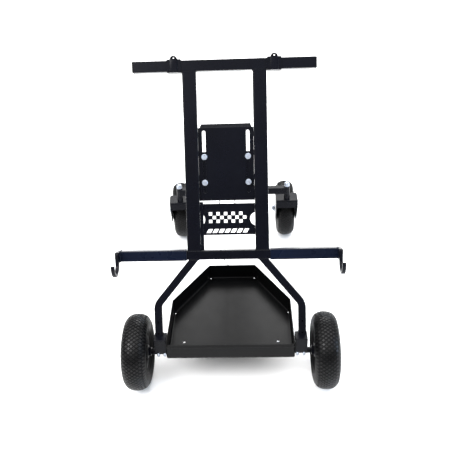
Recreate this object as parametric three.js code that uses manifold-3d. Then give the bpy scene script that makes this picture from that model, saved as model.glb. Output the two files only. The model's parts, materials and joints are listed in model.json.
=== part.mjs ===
// Upright storage and work stand for a racing kart, on four pneumatic wheels.
// Millimetres, +Z up, +X to the right, -Y towards the drip tray at the front. The origin lies on the
// floor under the middle of the stand. Every sub-part is one closed solid in its own named mesh.
import * as THREE from "three";
import { mergeVertices } from "three/addons/utils/BufferGeometryUtils.js";
import Module from "manifold-3d";

const wasm = await Module();
wasm.setup();

// Driving dimensions
const WHEEL_RADIUS = 130;
const WHEELBASE = 970;
const FRONT_AXLE_Y = -WHEELBASE / 2;
const FRONT_TRACK = 638;
const FIT_GAP = 0.3; // left between pieces that touch
const RIGHT = 1;
const LEFT = -1;
const SIDES = [
  { name: "left", side: LEFT },
  { name: "right", side: RIGHT },
];

// Mast: a flat frame that leans back, measured along its slope from a foot line over the front axle
const MAST_LEAN = THREE.MathUtils.degToRad(25);
const MAST_FOOT_Z = 165;
const CROSS_HEIGHT = 305;
const CROSS_TUBE = 30;
const CROSS_HALF_LENGTH = 300;
const RAIL_X = 113;
const RAIL_WIDTH = 45;
const RAIL_DEPTH = 30;
const TOP_BAR_HEIGHT = 919;
const TOP_BAR = 35;
const TOP_BAR_HALF_LENGTH = 291.5;
const TUBE_WALL = 2;
const RAIL_INNER_X = RAIL_X - RAIL_WIDTH / 2;
const RAIL_BOTTOM = CROSS_HEIGHT + CROSS_TUBE / 2 + FIT_GAP;
const RAIL_TOP = TOP_BAR_HEIGHT - TOP_BAR / 2 - FIT_GAP;

// Telescopic arms with the hooks for a 50 mm kart axle
const ARM_TUBE = 35;
const ARM_INNER_X = 139;
const ARM_OUTER_X = 361;
const HOOK_THICKNESS = 12;
const HOOK_SEAT = { forward: 66, height: 284, radius: 28, outerRadius: 38 };
const HOOK_PLATE = { forward: 42, corner: 8 };

// Front axle, its blocks and the drip tray
const AXLE_RADIUS = 10;
const AXLE_HALF_LENGTH = 367;
const BLOCK_X = 237.5;
const BLOCK = { width: 41, depth: 42, bottom: 141, top: 197 };
const TRAY = { floor: 141, top: 203, sheet: 2.5 };
const TRAY_OUTLINE = [
  [-214, -50],
  [214, -50],
  [214, 184],
  [90, 400],
  [-90, 400],
  [-214, 184],
];

// Tail: a bracket bolted in the slotted plate, two tubes and a beam with a swivel housing at each end
const SLOT_X = 71.5;
const SLOT_WIDTH = 10.6;
const UPPER_SLOT = [621, 713];
const LOWER_SLOT = [510, 614];
const BOLT_HEIGHTS = { lower: 544.5, upper: 628.5 };
const PLATE_FRONT = 5; // forward of the mast's middle plane
const PLATE_SHEET = 3;
const BRACKET_SHEET = 5;
const BEAM = { size: 30, y: 831, z: 302 };
const TAIL_TUBE_X = 40;
const KINGPIN_X = 240;
const HOUSING = { radius: 13, bore: 8.3, bottom: 256.5, top: 322 };

// Swivel casters
const CASTER_TRAIL = WHEELBASE - BEAM.y;
const LEFT_SWIVEL = THREE.MathUtils.degToRad(5);
const FORK = { halfWidth: 49, sheet: 4, top: 256, crownBack: 56, crownFront: -20, flangeBottom: 219 };

const steel = { roughness: 0.42, metalness: 0.35 };
const PAINT = new THREE.MeshStandardMaterial({ color: 0x15171d, ...steel });
const ARM_PAINT = new THREE.MeshStandardMaterial({ color: 0x1b222e, ...steel });
const TRAY_PAINT = new THREE.MeshStandardMaterial({ color: 0x1d1e21, ...steel });
const ZINC = new THREE.MeshStandardMaterial({ color: 0xc9cdd2, roughness: 0.3, metalness: 1 });
const RIM_STEEL = new THREE.MeshStandardMaterial({ color: 0x24262a, ...steel });
const RUBBER = new THREE.MeshStandardMaterial({ color: 0x191a1b, roughness: 0.85 });
const PLASTIC = new THREE.MeshStandardMaterial({ color: 0x121315, roughness: 0.6 });
const WIRE = new THREE.MeshStandardMaterial({ color: 0x2a2b2d, roughness: 0.5, metalness: 0.6 });

// A closed three.js geometry as a solid that can be joined and cut
function solid(geometry) {
  const bare = geometry.clone();
  bare.deleteAttribute("normal");
  bare.deleteAttribute("uv");
  const merged = mergeVertices(bare, 1e-4);
  return new wasm.Manifold(
    new wasm.Mesh({
      numProp: 3,
      vertProperties: merged.attributes.position.array,
      triVerts: new Uint32Array(merged.index.array),
    }),
  );
}

function namedMesh(name, shape, material) {
  const made = shape.getMesh();
  const geometry = new THREE.BufferGeometry();
  geometry.setAttribute("position", new THREE.BufferAttribute(made.vertProperties, 3));
  geometry.setIndex(new THREE.BufferAttribute(made.triVerts, 1));
  geometry.computeVertexNormals();
  const mesh = new THREE.Mesh(geometry, material);
  mesh.name = name;
  return mesh;
}

const joined = (...shapes) => shapes.reduce((sum, shape) => sum.add(shape));

// A box given by its lowest and highest corners
function block(low, high) {
  const size = high.map((v, i) => v - low[i]);
  const middle = high.map((v, i) => (v + low[i]) / 2);
  return solid(new THREE.BoxGeometry(...size).translate(...middle));
}

// A cylinder from one end to the other along an axis: "x", "y" or "z"
function rod(radius, axis, from, to, centre, sides = 16) {
  const shape = new THREE.CylinderGeometry(radius, radius, to - from, sides);
  if (axis === "x") shape.rotateZ(-Math.PI / 2);
  if (axis === "z") shape.rotateX(Math.PI / 2);
  const along = { x: [1, 0, 0], y: [0, 1, 0], z: [0, 0, 1] }[axis];
  const shift = (from + to) / 2;
  return solid(shape.translate(...along.map((a, i) => centre[i] + a * shift)));
}

const HEX = 6;

// An outline of [x, z] points as a plate between two places along y
function plateAcrossY(points, yLow, yHigh, holes = []) {
  const outline = new THREE.Shape(points.map(([x, z]) => new THREE.Vector2(x, z)));
  for (const hole of holes) outline.holes.push(hole);
  const depth = yHigh - yLow;
  const shape = new THREE.ExtrudeGeometry(outline, { depth, bevelEnabled: false, curveSegments: 5 });
  return solid(shape.rotateX(Math.PI / 2).translate(0, yHigh, 0));
}

// An outline of [y, z] points as a plate between two places along x
function plateAcrossX(outline, xLow, xHigh, curveSegments = 10) {
  const shape = new THREE.ExtrudeGeometry(outline, {
    depth: xHigh - xLow,
    bevelEnabled: false,
    curveSegments,
  });
  const toYZ = new THREE.Matrix4().makeBasis(
    new THREE.Vector3(0, 1, 0),
    new THREE.Vector3(0, 0, 1),
    new THREE.Vector3(1, 0, 0),
  );
  return solid(shape.applyMatrix4(toYZ).translate(xLow, 0, 0));
}

// A square or rectangular tube along x or z, open at both ends
function openTube(low, high, axis, wall = TUBE_WALL) {
  const grow = (corner, outwards) =>
    corner.map((v, i) => (i === axis ? v + outwards : v - Math.sign(outwards) * wall));
  return block(low, high).subtract(block(grow(low, -1), grow(high, 1)));
}

// Points of a line that turns one corner on an arc
function filletedLine(start, corner, end, radius, steps = 6) {
  const [a, b, c] = [start, corner, end].map((p) => new THREE.Vector2(...p));
  const back = a.clone().sub(b).normalize();
  const on = c.clone().sub(b).normalize();
  const reach = radius / Math.tan(back.angleTo(on) / 2);
  const curve = new THREE.QuadraticBezierCurve(
    b.clone().addScaledVector(back, reach),
    b,
    b.clone().addScaledVector(on, reach),
  );
  return [a, ...curve.getPoints(steps), c];
}

// The two edges of a strip of constant width along a line of points
function stripOutline(line, halfWidth) {
  const offset = (sign) =>
    line.map((p, i) => {
      const before = line[Math.max(i - 1, 0)];
      const after = line[Math.min(i + 1, line.length - 1)];
      const along = after.clone().sub(before).normalize();
      return [p.x - sign * along.y * halfWidth, p.y + sign * along.x * halfWidth];
    });
  return [...offset(-1), ...offset(1).reverse()];
}

// A lathe profile of [axial, radius] points, turned about the x axis and closed on itself
function turned(profile, segments) {
  const points = profile.map(([x, r]) => new THREE.Vector2(r, x));
  points.push(points[0].clone());
  return solid(new THREE.LatheGeometry(points, segments).rotateZ(-Math.PI / 2));
}

// ---------- wheels ----------

const HUB_HALF_LENGTH = 37;
const HUB_RADIUS = 22;
const BOLT_CIRCLE = 37;
const RIM_BOLTS = 4;
const TYRE_SEGMENTS = 28;
const RIM_SEGMENTS = 16;
const TYRE_SECTION = [
  [-27, 61], [-41, 80], [-41.5, 102], [-26, 125], [0, WHEEL_RADIUS],
  [26, 125], [41.5, 102], [41, 80], [27, 61],
  [22, 62], [35.5, 92], [18, 119], [-18, 119], [-35.5, 92], [-22, 62],
];

function tyre() {
  return turned(TYRE_SECTION, TYRE_SEGMENTS);
}

// One pressed half of the split rim, its flange on the side given by `facing`
function rimHalf(facing, hole) {
  const section = [
    [FIT_GAP, hole], [2.8, hole], [2.8, 44], [9, 50.5], [26, 51.5], [26, 60.5], [24, 60.5],
    [24, 54], [FIT_GAP, 48],
  ];
  const placed = section.map(([x, r]) => [x * facing, r]);
  return turned(facing > 0 ? placed.reverse() : placed, RIM_SEGMENTS);
}

function rimBolt(index, radius) {
  const angle = ((index + 0.5) / RIM_BOLTS) * 2 * Math.PI;
  const centre = [0, BOLT_CIRCLE * Math.cos(angle), BOLT_CIRCLE * Math.sin(angle)];
  return (from, to, sides) => rod(radius, "x", from, to, centre, sides);
}

// The half on the hub's side carries the hub tube and the bolts that clamp both halves
function innerRim() {
  let shape = joined(
    rimHalf(-1, HUB_RADIUS - 1),
    rod(HUB_RADIUS, "x", -HUB_HALF_LENGTH, HUB_HALF_LENGTH, [0, 0, 0], RIM_SEGMENTS),
  );
  for (let i = 0; i < RIM_BOLTS; i += 1) {
    shape = shape.add(rimBolt(i, 3.6)(-2, 5, 4));
    shape = shape.add(rimBolt(i, 7)(-8.5, -2, HEX)).add(rimBolt(i, 7)(3.1, 8.5, HEX));
  }
  return shape.subtract(rod(AXLE_RADIUS + FIT_GAP, "x", -60, 60, [0, 0, 0]));
}

function outerRim() {
  let shape = rimHalf(1, HUB_RADIUS + FIT_GAP);
  for (let i = 0; i < RIM_BOLTS; i += 1) shape = shape.subtract(rimBolt(i, 4.4)(-5, 12, HEX));
  return shape;
}

function wheel(name, outwards) {
  const group = new THREE.Group();
  group.add(namedMesh(`${name}_tyre`, tyre(), RUBBER));
  group.add(namedMesh(`${name}_rim_inner`, innerRim(), RIM_STEEL));
  group.add(namedMesh(`${name}_rim_outer`, outerRim(), RIM_STEEL));
  group.rotation.z = outwards > 0 ? 0 : Math.PI;
  return group;
}

// ---------- chassis: front axle, blocks, tray (y counts from the front axle) ----------

function frontAxle() {
  const wheelInner = FRONT_TRACK / 2 - HUB_HALF_LENGTH - FIT_GAP;
  let shape = rod(AXLE_RADIUS, "x", -AXLE_HALF_LENGTH, AXLE_HALF_LENGTH, [0, 0, WHEEL_RADIUS]);
  for (const { side } of SIDES) {
    const ends = [side * (wheelInner - 8), side * wheelInner].sort((a, b) => a - b);
    shape = shape.add(rod(15, "x", ...ends, [0, 0, WHEEL_RADIUS]));
  }
  return shape;
}

function axleNut(side) {
  const from = FRONT_TRACK / 2 + HUB_HALF_LENGTH + FIT_GAP;
  const ends = [side * from, side * (from + 11)].sort((a, b) => a - b);
  const washer = [side * from, side * (from + 2)].sort((a, b) => a - b);
  return joined(
    rod(15.5, "x", ...ends, [0, 0, WHEEL_RADIUS], HEX),
    rod(18, "x", ...washer, [0, 0, WHEEL_RADIUS]),
  ).subtract(rod(AXLE_RADIUS + FIT_GAP, "x", -500, 500, [0, 0, WHEEL_RADIUS]));
}

const UBOLT = { radius: 4, bend: 14.6, spacing: 11, top: 163 };

// A U-bolt passes under the axle and screws up into the block
function uBolt(x) {
  const bottomHalf = Array.from({ length: 9 }, (_, i) => Math.PI * (1 + i / 8));
  const route = [
    new THREE.Vector3(x, -UBOLT.bend, UBOLT.top),
    ...bottomHalf.map(
      (angle) =>
        new THREE.Vector3(x, UBOLT.bend * Math.cos(angle), WHEEL_RADIUS + UBOLT.bend * Math.sin(angle)),
    ),
    new THREE.Vector3(x, UBOLT.bend, UBOLT.top),
  ];
  const section = new THREE.Shape().absarc(0, 0, UBOLT.radius, 0, 2 * Math.PI);
  const extrudePath = new THREE.CatmullRomCurve3(route, false, "catmullrom", 0.2);
  return solid(new THREE.ExtrudeGeometry(section, { steps: 16, extrudePath, curveSegments: 4 }));
}

function axleBlock(side) {
  const x = side * BLOCK_X;
  const half = BLOCK.width / 2;
  let shape = block([x - half, -BLOCK.depth / 2, BLOCK.bottom], [x + half, BLOCK.depth / 2, BLOCK.top]);
  for (const offset of [-UBOLT.spacing, UBOLT.spacing])
    for (const y of [-UBOLT.bend, UBOLT.bend]) {
      const centre = [x + offset, y, 0];
      shape = shape.subtract(rod(UBOLT.radius + 0.7, "z", BLOCK.bottom - 5, UBOLT.top + 1, centre, 12));
    }
  return shape;
}

// The tray's outline moved inwards by a distance, for the inner face of its walls
function insetOutline(points, distance) {
  return points.map((p, i) => {
    const before = points[(i + points.length - 1) % points.length];
    const after = points[(i + 1) % points.length];
    const edge = (a, b) => new THREE.Vector2(b[0] - a[0], b[1] - a[1]).normalize();
    const [u, v] = [edge(before, p), edge(p, after)];
    const scale = distance / (1 + u.dot(v));
    return [p[0] + scale * (-u.y - v.y), p[1] + scale * (u.x + v.x)];
  });
}

function upright(points, low, high) {
  const outline = new THREE.Shape(points.map(([x, y]) => new THREE.Vector2(x, y)));
  const shape = new THREE.ExtrudeGeometry(outline, { depth: high - low, bevelEnabled: false });
  return solid(shape.translate(0, 0, low));
}

const TRAY_HOLE = { x: 162, y: 30, radius: 4.5 };
const TRAY_LIP = { width: 10, end: 4 };

function dripTray() {
  let shape = upright(TRAY_OUTLINE, TRAY.floor, TRAY.top).subtract(
    upright(insetOutline(TRAY_OUTLINE, TRAY.sheet), TRAY.floor + TRAY.sheet, TRAY.top + 10),
  );
  for (const { side } of SIDES) {
    const centre = [side * TRAY_HOLE.x, TRAY_HOLE.y, 0];
    shape = shape.subtract(rod(TRAY_HOLE.radius, "z", TRAY.floor - 5, TRAY.floor + 10, centre, 12));
  }
  const [half, front] = [TRAY_OUTLINE[1][0] - TRAY_LIP.end, TRAY_OUTLINE[1][1]];
  const lip = block(
    [-half, front - TRAY_LIP.width, TRAY.top - TRAY.sheet],
    [half, front + 1, TRAY.top],
  );
  shape = shape.add(lip);
  return shape;
}

const WIRE_X = -16;
const WIRE_RADIUS = 1.5;

// The tray's stay wire, straight from the cross tube's lower back edge to the tray's back wall
function stayWire() {
  const lean = { y: Math.sin(MAST_LEAN), z: Math.cos(MAST_LEAN) };
  const underTube = CROSS_HEIGHT - CROSS_TUBE / 2 - 2;
  const top = new THREE.Vector3(
    WIRE_X,
    underTube * lean.y + 8 * lean.z,
    MAST_FOOT_Z + underTube * lean.z - 8 * lean.y,
  );
  const end = new THREE.Vector3(WIRE_X, TRAY_OUTLINE[3][1] - TRAY.sheet / 2, TRAY.top + 1.5);
  const section = new THREE.Shape().absarc(0, 0, WIRE_RADIUS, 0, 2 * Math.PI);
  const extrudePath = new THREE.LineCurve3(top, end);
  return solid(new THREE.ExtrudeGeometry(section, { steps: 1, extrudePath, curveSegments: 4 }));
}

function chassisMeshes() {
  const made = [
    namedMesh("axle_rod", frontAxle(), PAINT),
    namedMesh("drip_tray", dripTray(), TRAY_PAINT),
    namedMesh("tray_wire", stayWire(), WIRE),
  ];
  for (const { name, side } of SIDES) {
    made.push(namedMesh(`axle_block_${name}`, axleBlock(side), PAINT));
    made.push(namedMesh(`axle_nut_${name}`, axleNut(side), ZINC));
    for (const [place, offset] of [["inner", -UBOLT.spacing], ["outer", UBOLT.spacing]])
      made.push(namedMesh(`axle_ubolt_${name}_${place}`, uBolt(side * (BLOCK_X + offset)), ZINC));
    const spinning = wheel(`front_${name}`, side);
    spinning.position.set((side * FRONT_TRACK) / 2, 0, WHEEL_RADIUS);
    made.push(spinning);
  }
  return made;
}

// ---------- mast (z runs up its slope, -y points out of its front) ----------

const LEG = { size: 25, footX: 242, bendHeight: 137, topX: 115, bend: 45 };
// Heights of the small holes through each leg's front wall
const LEG_HOLES = [38, 77];

// A box under the block tops, turned into the mast's frame, that trims the legs' feet
function footTrim() {
  const size = 160;
  const shape = new THREE.BoxGeometry(800, size, size);
  shape.translate(0, 0, BLOCK.top + FIT_GAP - size / 2 - MAST_FOOT_Z).rotateX(MAST_LEAN);
  return solid(shape);
}

function leg(side) {
  const top = CROSS_HEIGHT - CROSS_TUBE / 2 - FIT_GAP;
  const slope = new THREE.Vector2(LEG.topX - LEG.footX, top - LEG.bendHeight).normalize();
  const past = (reach) => [side * (LEG.topX + slope.x * reach), top + slope.y * reach];
  const bar = (halfWidth, halfDepth, reach) => {
    const line = filletedLine(
      [side * LEG.footX, -reach],
      [side * LEG.footX, LEG.bendHeight],
      past(reach),
      LEG.bend,
    );
    const outline = stripOutline(line, halfWidth);
    return plateAcrossY(side > 0 ? outline : outline.reverse(), -halfDepth, halfDepth);
  };
  let shape = bar(LEG.size / 2, LEG.size / 2, 20)
    .subtract(bar(LEG.size / 2 - TUBE_WALL, LEG.size / 2 - TUBE_WALL, 40))
    .subtract(footTrim())
    .subtract(block([-400, -100, top], [400, 100, top + 100]));
  for (const height of LEG_HOLES)
    shape = shape.subtract(rod(3, "y", -20, 0, [side * LEG.footX, 0, height], 10));
  return shape;
}

function rail(side) {
  const low = [side * RAIL_X - RAIL_WIDTH / 2, -RAIL_DEPTH / 2, RAIL_BOTTOM];
  const high = [side * RAIL_X + RAIL_WIDTH / 2, RAIL_DEPTH / 2, RAIL_TOP];
  return openTube(low, high, 2);
}

function slotHole(x, [low, high]) {
  const r = SLOT_WIDTH / 2;
  const hole = new THREE.Path();
  hole.absarc(x, high - r, r, 0, Math.PI);
  hole.absarc(x, low + r, r, Math.PI, 2 * Math.PI);
  hole.closePath();
  return hole;
}

const PLATE = { bottom: 486, top: 722, flange: 17, lip: 12 };

// The slotted plate, with its top edge folded back and a lip along its bottom edge
function slottedPlate() {
  const half = RAIL_INNER_X - FIT_GAP;
  const [front, back] = [-PLATE_FRONT, -PLATE_FRONT + PLATE_SHEET];
  const holes = SIDES.flatMap(({ side }) =>
    [UPPER_SLOT, LOWER_SLOT].map((slot) => slotHole(side * SLOT_X, slot)),
  );
  const corners = [[-half, PLATE.bottom], [half, PLATE.bottom], [half, PLATE.top], [-half, PLATE.top]];
  const fold = PLATE.flange * Math.SQRT1_2;
  const flange = new THREE.BoxGeometry(2 * (half - 9), PLATE_SHEET, PLATE.flange);
  flange.translate(0, 0, PLATE.flange / 2).rotateX(-Math.PI / 4);
  flange.translate(0, back - PLATE_SHEET / 2, PLATE.top - PLATE_SHEET / 2);
  const lip = block([-half, front, PLATE.bottom], [half, front + PLATE.lip, PLATE.bottom + PLATE_SHEET]);
  return joined(plateAcrossY(corners, front, back, holes), solid(flange), lip).subtract(
    block([-half, back + fold + 2, 0], [half, 100, 1000]),
  );
}

const PANEL = { bottom: 371, top: 475, sheet: 3 };
const NOTCH = { radius: 22, depth: 16, height: 423 };
const CHEQUER = { columns: 10, rows: 3, size: 11, gap: 1.5, centre: 429 };
const DASHES = { count: 7, width: 14, height: 13, pitch: 20, centre: 384.5, slant: 4 };
const TABS = { x: 25, width: 3 };

function slantedCut(x, z, width, height, slant) {
  const corners = [
    [x - width / 2 - slant, z - height / 2],
    [x + width / 2 - slant, z - height / 2],
    [x + width / 2 + slant, z + height / 2],
    [x - width / 2 + slant, z + height / 2],
  ];
  return plateAcrossY(corners, -20, 20);
}

// The cut-out panel: a plain chequer band over a row of slanted dashes, and a round notch each side
function badgePanel() {
  const half = RAIL_INNER_X - FIT_GAP;
  const [front, back] = [-PLATE_FRONT, -PLATE_FRONT + PANEL.sheet];
  let shape = block([-half, front, PANEL.bottom], [half, back, PANEL.top]);
  const pitch = CHEQUER.size + CHEQUER.gap;
  for (let row = 0; row < CHEQUER.rows; row += 1)
    for (let column = row % 2; column < CHEQUER.columns; column += 2) {
      const x = (column - (CHEQUER.columns - 1) / 2) * pitch;
      const z = CHEQUER.centre + (row - (CHEQUER.rows - 1) / 2) * pitch;
      shape = shape.subtract(slantedCut(x, z, CHEQUER.size, CHEQUER.size, 0));
    }
  for (let i = 0; i < DASHES.count; i += 1) {
    const x = (i - (DASHES.count - 1) / 2) * DASHES.pitch;
    shape = shape.subtract(slantedCut(x, DASHES.centre, DASHES.width, DASHES.height, DASHES.slant));
  }
  for (const { side } of SIDES) {
    const x = side * (half + NOTCH.radius - NOTCH.depth);
    shape = shape.subtract(rod(NOTCH.radius, "y", -50, 50, [x, 0, NOTCH.height], 32));
    const tab = [side * TABS.x - TABS.width / 2, side * TABS.x + TABS.width / 2];
    shape = shape.add(
      block([tab[0], front, PANEL.top - 1], [tab[1], back, PLATE.bottom - FIT_GAP]),
    );
  }
  return shape;
}

const STRIP = { width: 11, sheet: 4 };

// The flat strip along the left rail's inner face, over the panel's edge
function railStrip() {
  const x = -RAIL_INNER_X + FIT_GAP;
  const back = -PLATE_FRONT - FIT_GAP;
  return block([x, back - STRIP.sheet, RAIL_BOTTOM], [x + STRIP.width, back, PLATE.bottom - 4]);
}

function arm(side) {
  const ends = [side * ARM_INNER_X, side * ARM_OUTER_X].sort((a, b) => a - b);
  const half = ARM_TUBE / 2;
  const screwHole = rod(4.3, "y", 0, 40, [side * LOCK_SCREW_X, 0, CROSS_HEIGHT], 12);
  return openTube(
    [ends[0], -half, CROSS_HEIGHT - half],
    [ends[1], half, CROSS_HEIGHT + half],
    0,
  ).subtract(screwHole);
}

const LOCK_SCREW_X = 165;

// The arm's lock screw, behind the arm: a screw whose tip bears on the cross tube
function lockScrew(side) {
  const centre = [side * LOCK_SCREW_X, 0, CROSS_HEIGHT];
  const back = ARM_TUBE / 2 + FIT_GAP;
  return joined(
    rod(4, "y", CROSS_TUBE / 2 + FIT_GAP, back + 16, centre, 12),
    rod(8, "y", back, back + 7, centre, HEX),
    rod(7, "y", back + 12, back + 20, centre, HEX),
  );
}

// The hook plate at the arm's end: it stands forward of the arm and turns up in a J
function axleHook(side) {
  const { forward, height, radius, outerRadius } = HOOK_SEAT;
  const half = ARM_TUBE / 2;
  const top = CROSS_HEIGHT + half;
  const front = -HOOK_PLATE.forward;
  const outline = new THREE.Shape();
  outline.moveTo(half, CROSS_HEIGHT - half);
  outline.lineTo(half, top);
  outline.lineTo(front + HOOK_PLATE.corner, top);
  outline.quadraticCurveTo(front, top, front, top - HOOK_PLATE.corner);
  outline.lineTo(-forward + radius, height);
  outline.absarc(-forward, height, radius, 0, -Math.PI, true);
  outline.absarc(-forward, height, outerRadius, -Math.PI, 0, false);
  outline.closePath();
  const from = ARM_OUTER_X + FIT_GAP;
  const ends = [side * from, side * (from + HOOK_THICKNESS)].sort((a, b) => a - b);
  return plateAcrossX(outline, ...ends, 12);
}

const SLEEVE = { outer: 42, length: 45, x: 160 };
const LUG = { width: 23, sheet: 5, top: 950, boss: 20, hole: 3, holeHeight: 943.5 };

// A lug's outline from its foot to its round top round its small hole
function lugShape(x, foot) {
  const r = LUG.width / 2;
  const outline = new THREE.Shape();
  outline.moveTo(x - r, foot);
  outline.lineTo(x + r, foot);
  outline.absarc(x, LUG.top - r, r, 0, Math.PI);
  outline.closePath();
  outline.holes.push(new THREE.Path().absarc(x, LUG.holeHeight, LUG.hole, 0, 2 * Math.PI));
  return outline;
}

// A sleeve that slides on the top bar, with a lug on its front that thickens into a boss above it
function topSleeve(side) {
  const x = side * SLEEVE.x;
  const half = SLEEVE.outer / 2;
  const bore = TOP_BAR / 2 + 0.5;
  const tube = block(
    [x - SLEEVE.length / 2, -half, TOP_BAR_HEIGHT - half],
    [x + SLEEVE.length / 2, half, TOP_BAR_HEIGHT + half],
  ).subtract(
    block(
      [x - SLEEVE.length, -bore, TOP_BAR_HEIGHT - bore],
      [x + SLEEVE.length, bore, TOP_BAR_HEIGHT + bore],
    ),
  );
  const front = -half - LUG.sheet;
  const plate = extrudedBack(lugShape(x, TOP_BAR_HEIGHT - half), front, LUG.sheet + 1);
  const boss = extrudedBack(lugShape(x, TOP_BAR_HEIGHT + half - 2), front, LUG.boss);
  return tube.add(plate).add(boss);
}

// A shape in the mast's plane made solid from its front face backwards
function extrudedBack(shape, front, depth) {
  const made = new THREE.ExtrudeGeometry(shape, { depth, bevelEnabled: false, curveSegments: 12 });
  return solid(made.rotateX(Math.PI / 2).translate(0, front + depth, 0));
}

function topCap(side) {
  const half = TOP_BAR / 2;
  const from = TOP_BAR_HALF_LENGTH + FIT_GAP;
  const face = [side * from, side * (from + 3)].sort((a, b) => a - b);
  const plug = [side * (from - 14), side * (from + 1)].sort((a, b) => a - b);
  const inner = half - TUBE_WALL - FIT_GAP;
  return joined(
    block([face[0], -half, TOP_BAR_HEIGHT - half], [face[1], half, TOP_BAR_HEIGHT + half]),
    block([plug[0], -inner, TOP_BAR_HEIGHT - inner], [plug[1], inner, TOP_BAR_HEIGHT + inner]),
  );
}

function tubeAlongX(halfLength, size, height) {
  const half = size / 2;
  return openTube([-halfLength, -half, height - half], [halfLength, half, height + half], 0);
}

function mastMeshes() {
  const made = [
    namedMesh("cross_tube", tubeAlongX(CROSS_HALF_LENGTH, CROSS_TUBE, CROSS_HEIGHT), PAINT),
    namedMesh("top_bar", tubeAlongX(TOP_BAR_HALF_LENGTH, TOP_BAR, TOP_BAR_HEIGHT), PAINT),
    namedMesh("slotted_plate", slottedPlate(), PAINT),
    namedMesh("cutout_panel", badgePanel(), PAINT),
    namedMesh("rail_strip", railStrip(), PAINT),
  ];
  for (const { name, side } of SIDES) {
    made.push(namedMesh(`leg_${name}`, leg(side), PAINT));
    made.push(namedMesh(`rail_${name}`, rail(side), PAINT));
    made.push(namedMesh(`top_cap_${name}`, topCap(side), PLASTIC));
    made.push(namedMesh(`top_sleeve_${name}`, topSleeve(side), PAINT));
    made.push(namedMesh(`arm_${name}`, arm(side), ARM_PAINT));
    made.push(namedMesh(`axle_hook_${name}`, axleHook(side), PAINT));
    made.push(namedMesh(`arm_lock_screw_${name}`, lockScrew(side), ZINC));
  }
  return made;
}

// ---------- tail ----------

const BRACKET = { halfWidth: 88, bottom: 512, top: 645, cut: 12 };
const BRACKET_FRONT = -PLATE_FRONT + PLATE_SHEET + FIT_GAP;
const BRACKET_BACK = BRACKET_FRONT + BRACKET_SHEET;
const BOLT = { radius: 4.9, head: 9.2, headHeight: 7.5, nutHeight: 9, washer: 9.6, washerHeight: 1.6 };

function tailBracket() {
  const { halfWidth, bottom, top, cut } = BRACKET;
  const corners = [
    [-halfWidth, bottom], [halfWidth, bottom], [halfWidth, top - cut], [halfWidth - cut, top],
    [cut - halfWidth, top], [-halfWidth, top - cut],
  ];
  let shape = plateAcrossY(corners, BRACKET_FRONT, BRACKET_BACK);
  for (const { side } of SIDES)
    for (const height of Object.values(BOLT_HEIGHTS))
      shape = shape.subtract(
        rod(BOLT.radius + FIT_GAP, "y", -20, 20, [side * SLOT_X, 0, height], 16),
      );
  return shape;
}

function adjusterBolt(side, height) {
  const centre = [side * SLOT_X, 0, height];
  const underHead = -PLATE_FRONT - FIT_GAP;
  const nut = BRACKET_BACK + FIT_GAP;
  return joined(
    rod(BOLT.head, "y", underHead - BOLT.headHeight, underHead, centre, HEX),
    rod(BOLT.washer, "y", underHead - BOLT.washerHeight, underHead, centre, 16),
    rod(BOLT.radius, "y", underHead - 1, nut + BOLT.nutHeight + 4, centre, 16),
    rod(BOLT.head, "y", nut, nut + BOLT.nutHeight, centre, HEX),
  );
}

function tailOnMast() {
  const made = [namedMesh("tail_bracket", tailBracket(), PAINT)];
  for (const { name, side } of SIDES)
    for (const [place, height] of Object.entries(BOLT_HEIGHTS))
      made.push(namedMesh(`adjuster_bolt_${name}_${place}`, adjusterBolt(side, height), ZINC));
  return made;
}

// A box in the mast's frame, given in the frame that counts y from the front axle
function mastBlock(low, high) {
  const size = high.map((v, i) => v - low[i]);
  const middle = high.map((v, i) => (v + low[i]) / 2);
  const shape = new THREE.BoxGeometry(...size).translate(...middle);
  return solid(shape.rotateX(-MAST_LEAN).translate(0, 0, MAST_FOOT_Z));
}

function tailTube(side) {
  const height = (BRACKET.bottom + BRACKET.top) / 2 + 8;
  const start = new THREE.Vector2(height * Math.sin(MAST_LEAN), MAST_FOOT_Z + height * Math.cos(MAST_LEAN));
  const end = new THREE.Vector2(BEAM.y, BEAM.z);
  const length = start.distanceTo(end);
  const angle = Math.atan2(end.y - start.y, end.x - start.x);
  const tubeOf = (size, extra) => {
    const shape = new THREE.BoxGeometry(size, length + extra, size);
    shape.translate(0, length / 2, 0).rotateX(angle);
    return solid(shape.translate(side * TAIL_TUBE_X, start.x, start.y));
  };
  const half = BEAM.size / 2 + FIT_GAP;
  return tubeOf(BEAM.size, 0)
    .subtract(tubeOf(BEAM.size - 2 * TUBE_WALL, 60))
    .subtract(mastBlock([-200, -200, 300], [200, BRACKET_BACK + FIT_GAP, 900]))
    .subtract(block([-200, BEAM.y - half, BEAM.z - 80], [200, BEAM.y + 80, BEAM.z + 80]));
}

function rearBeam() {
  const half = BEAM.size / 2;
  let shape = openTube(
    [-KINGPIN_X, BEAM.y - half, BEAM.z - half],
    [KINGPIN_X, BEAM.y + half, BEAM.z + half],
    0,
  );
  for (const { side } of SIDES) {
    const centre = [side * KINGPIN_X, BEAM.y, 0];
    shape = shape.subtract(rod(HOUSING.radius + FIT_GAP, "z", 0, 400, centre, 28));
    const past = [side * KINGPIN_X, side * (KINGPIN_X + 50)].sort((a, b) => a - b);
    shape = shape.subtract(block([past[0], 0, 0], [past[1], 2000, 1000]));
  }
  return keepLargest(shape);
}

// A cut can leave loose corners: keep the biggest body
function keepLargest(shape) {
  return shape.decompose().reduce((best, body) => (body.volume() > best.volume() ? body : best));
}

function swivelHousing(side) {
  const centre = [side * KINGPIN_X, BEAM.y, 0];
  return rod(HOUSING.radius, "z", HOUSING.bottom, HOUSING.top, centre, 28).subtract(
    rod(HOUSING.bore, "z", 0, 400, centre, 20),
  );
}

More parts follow.
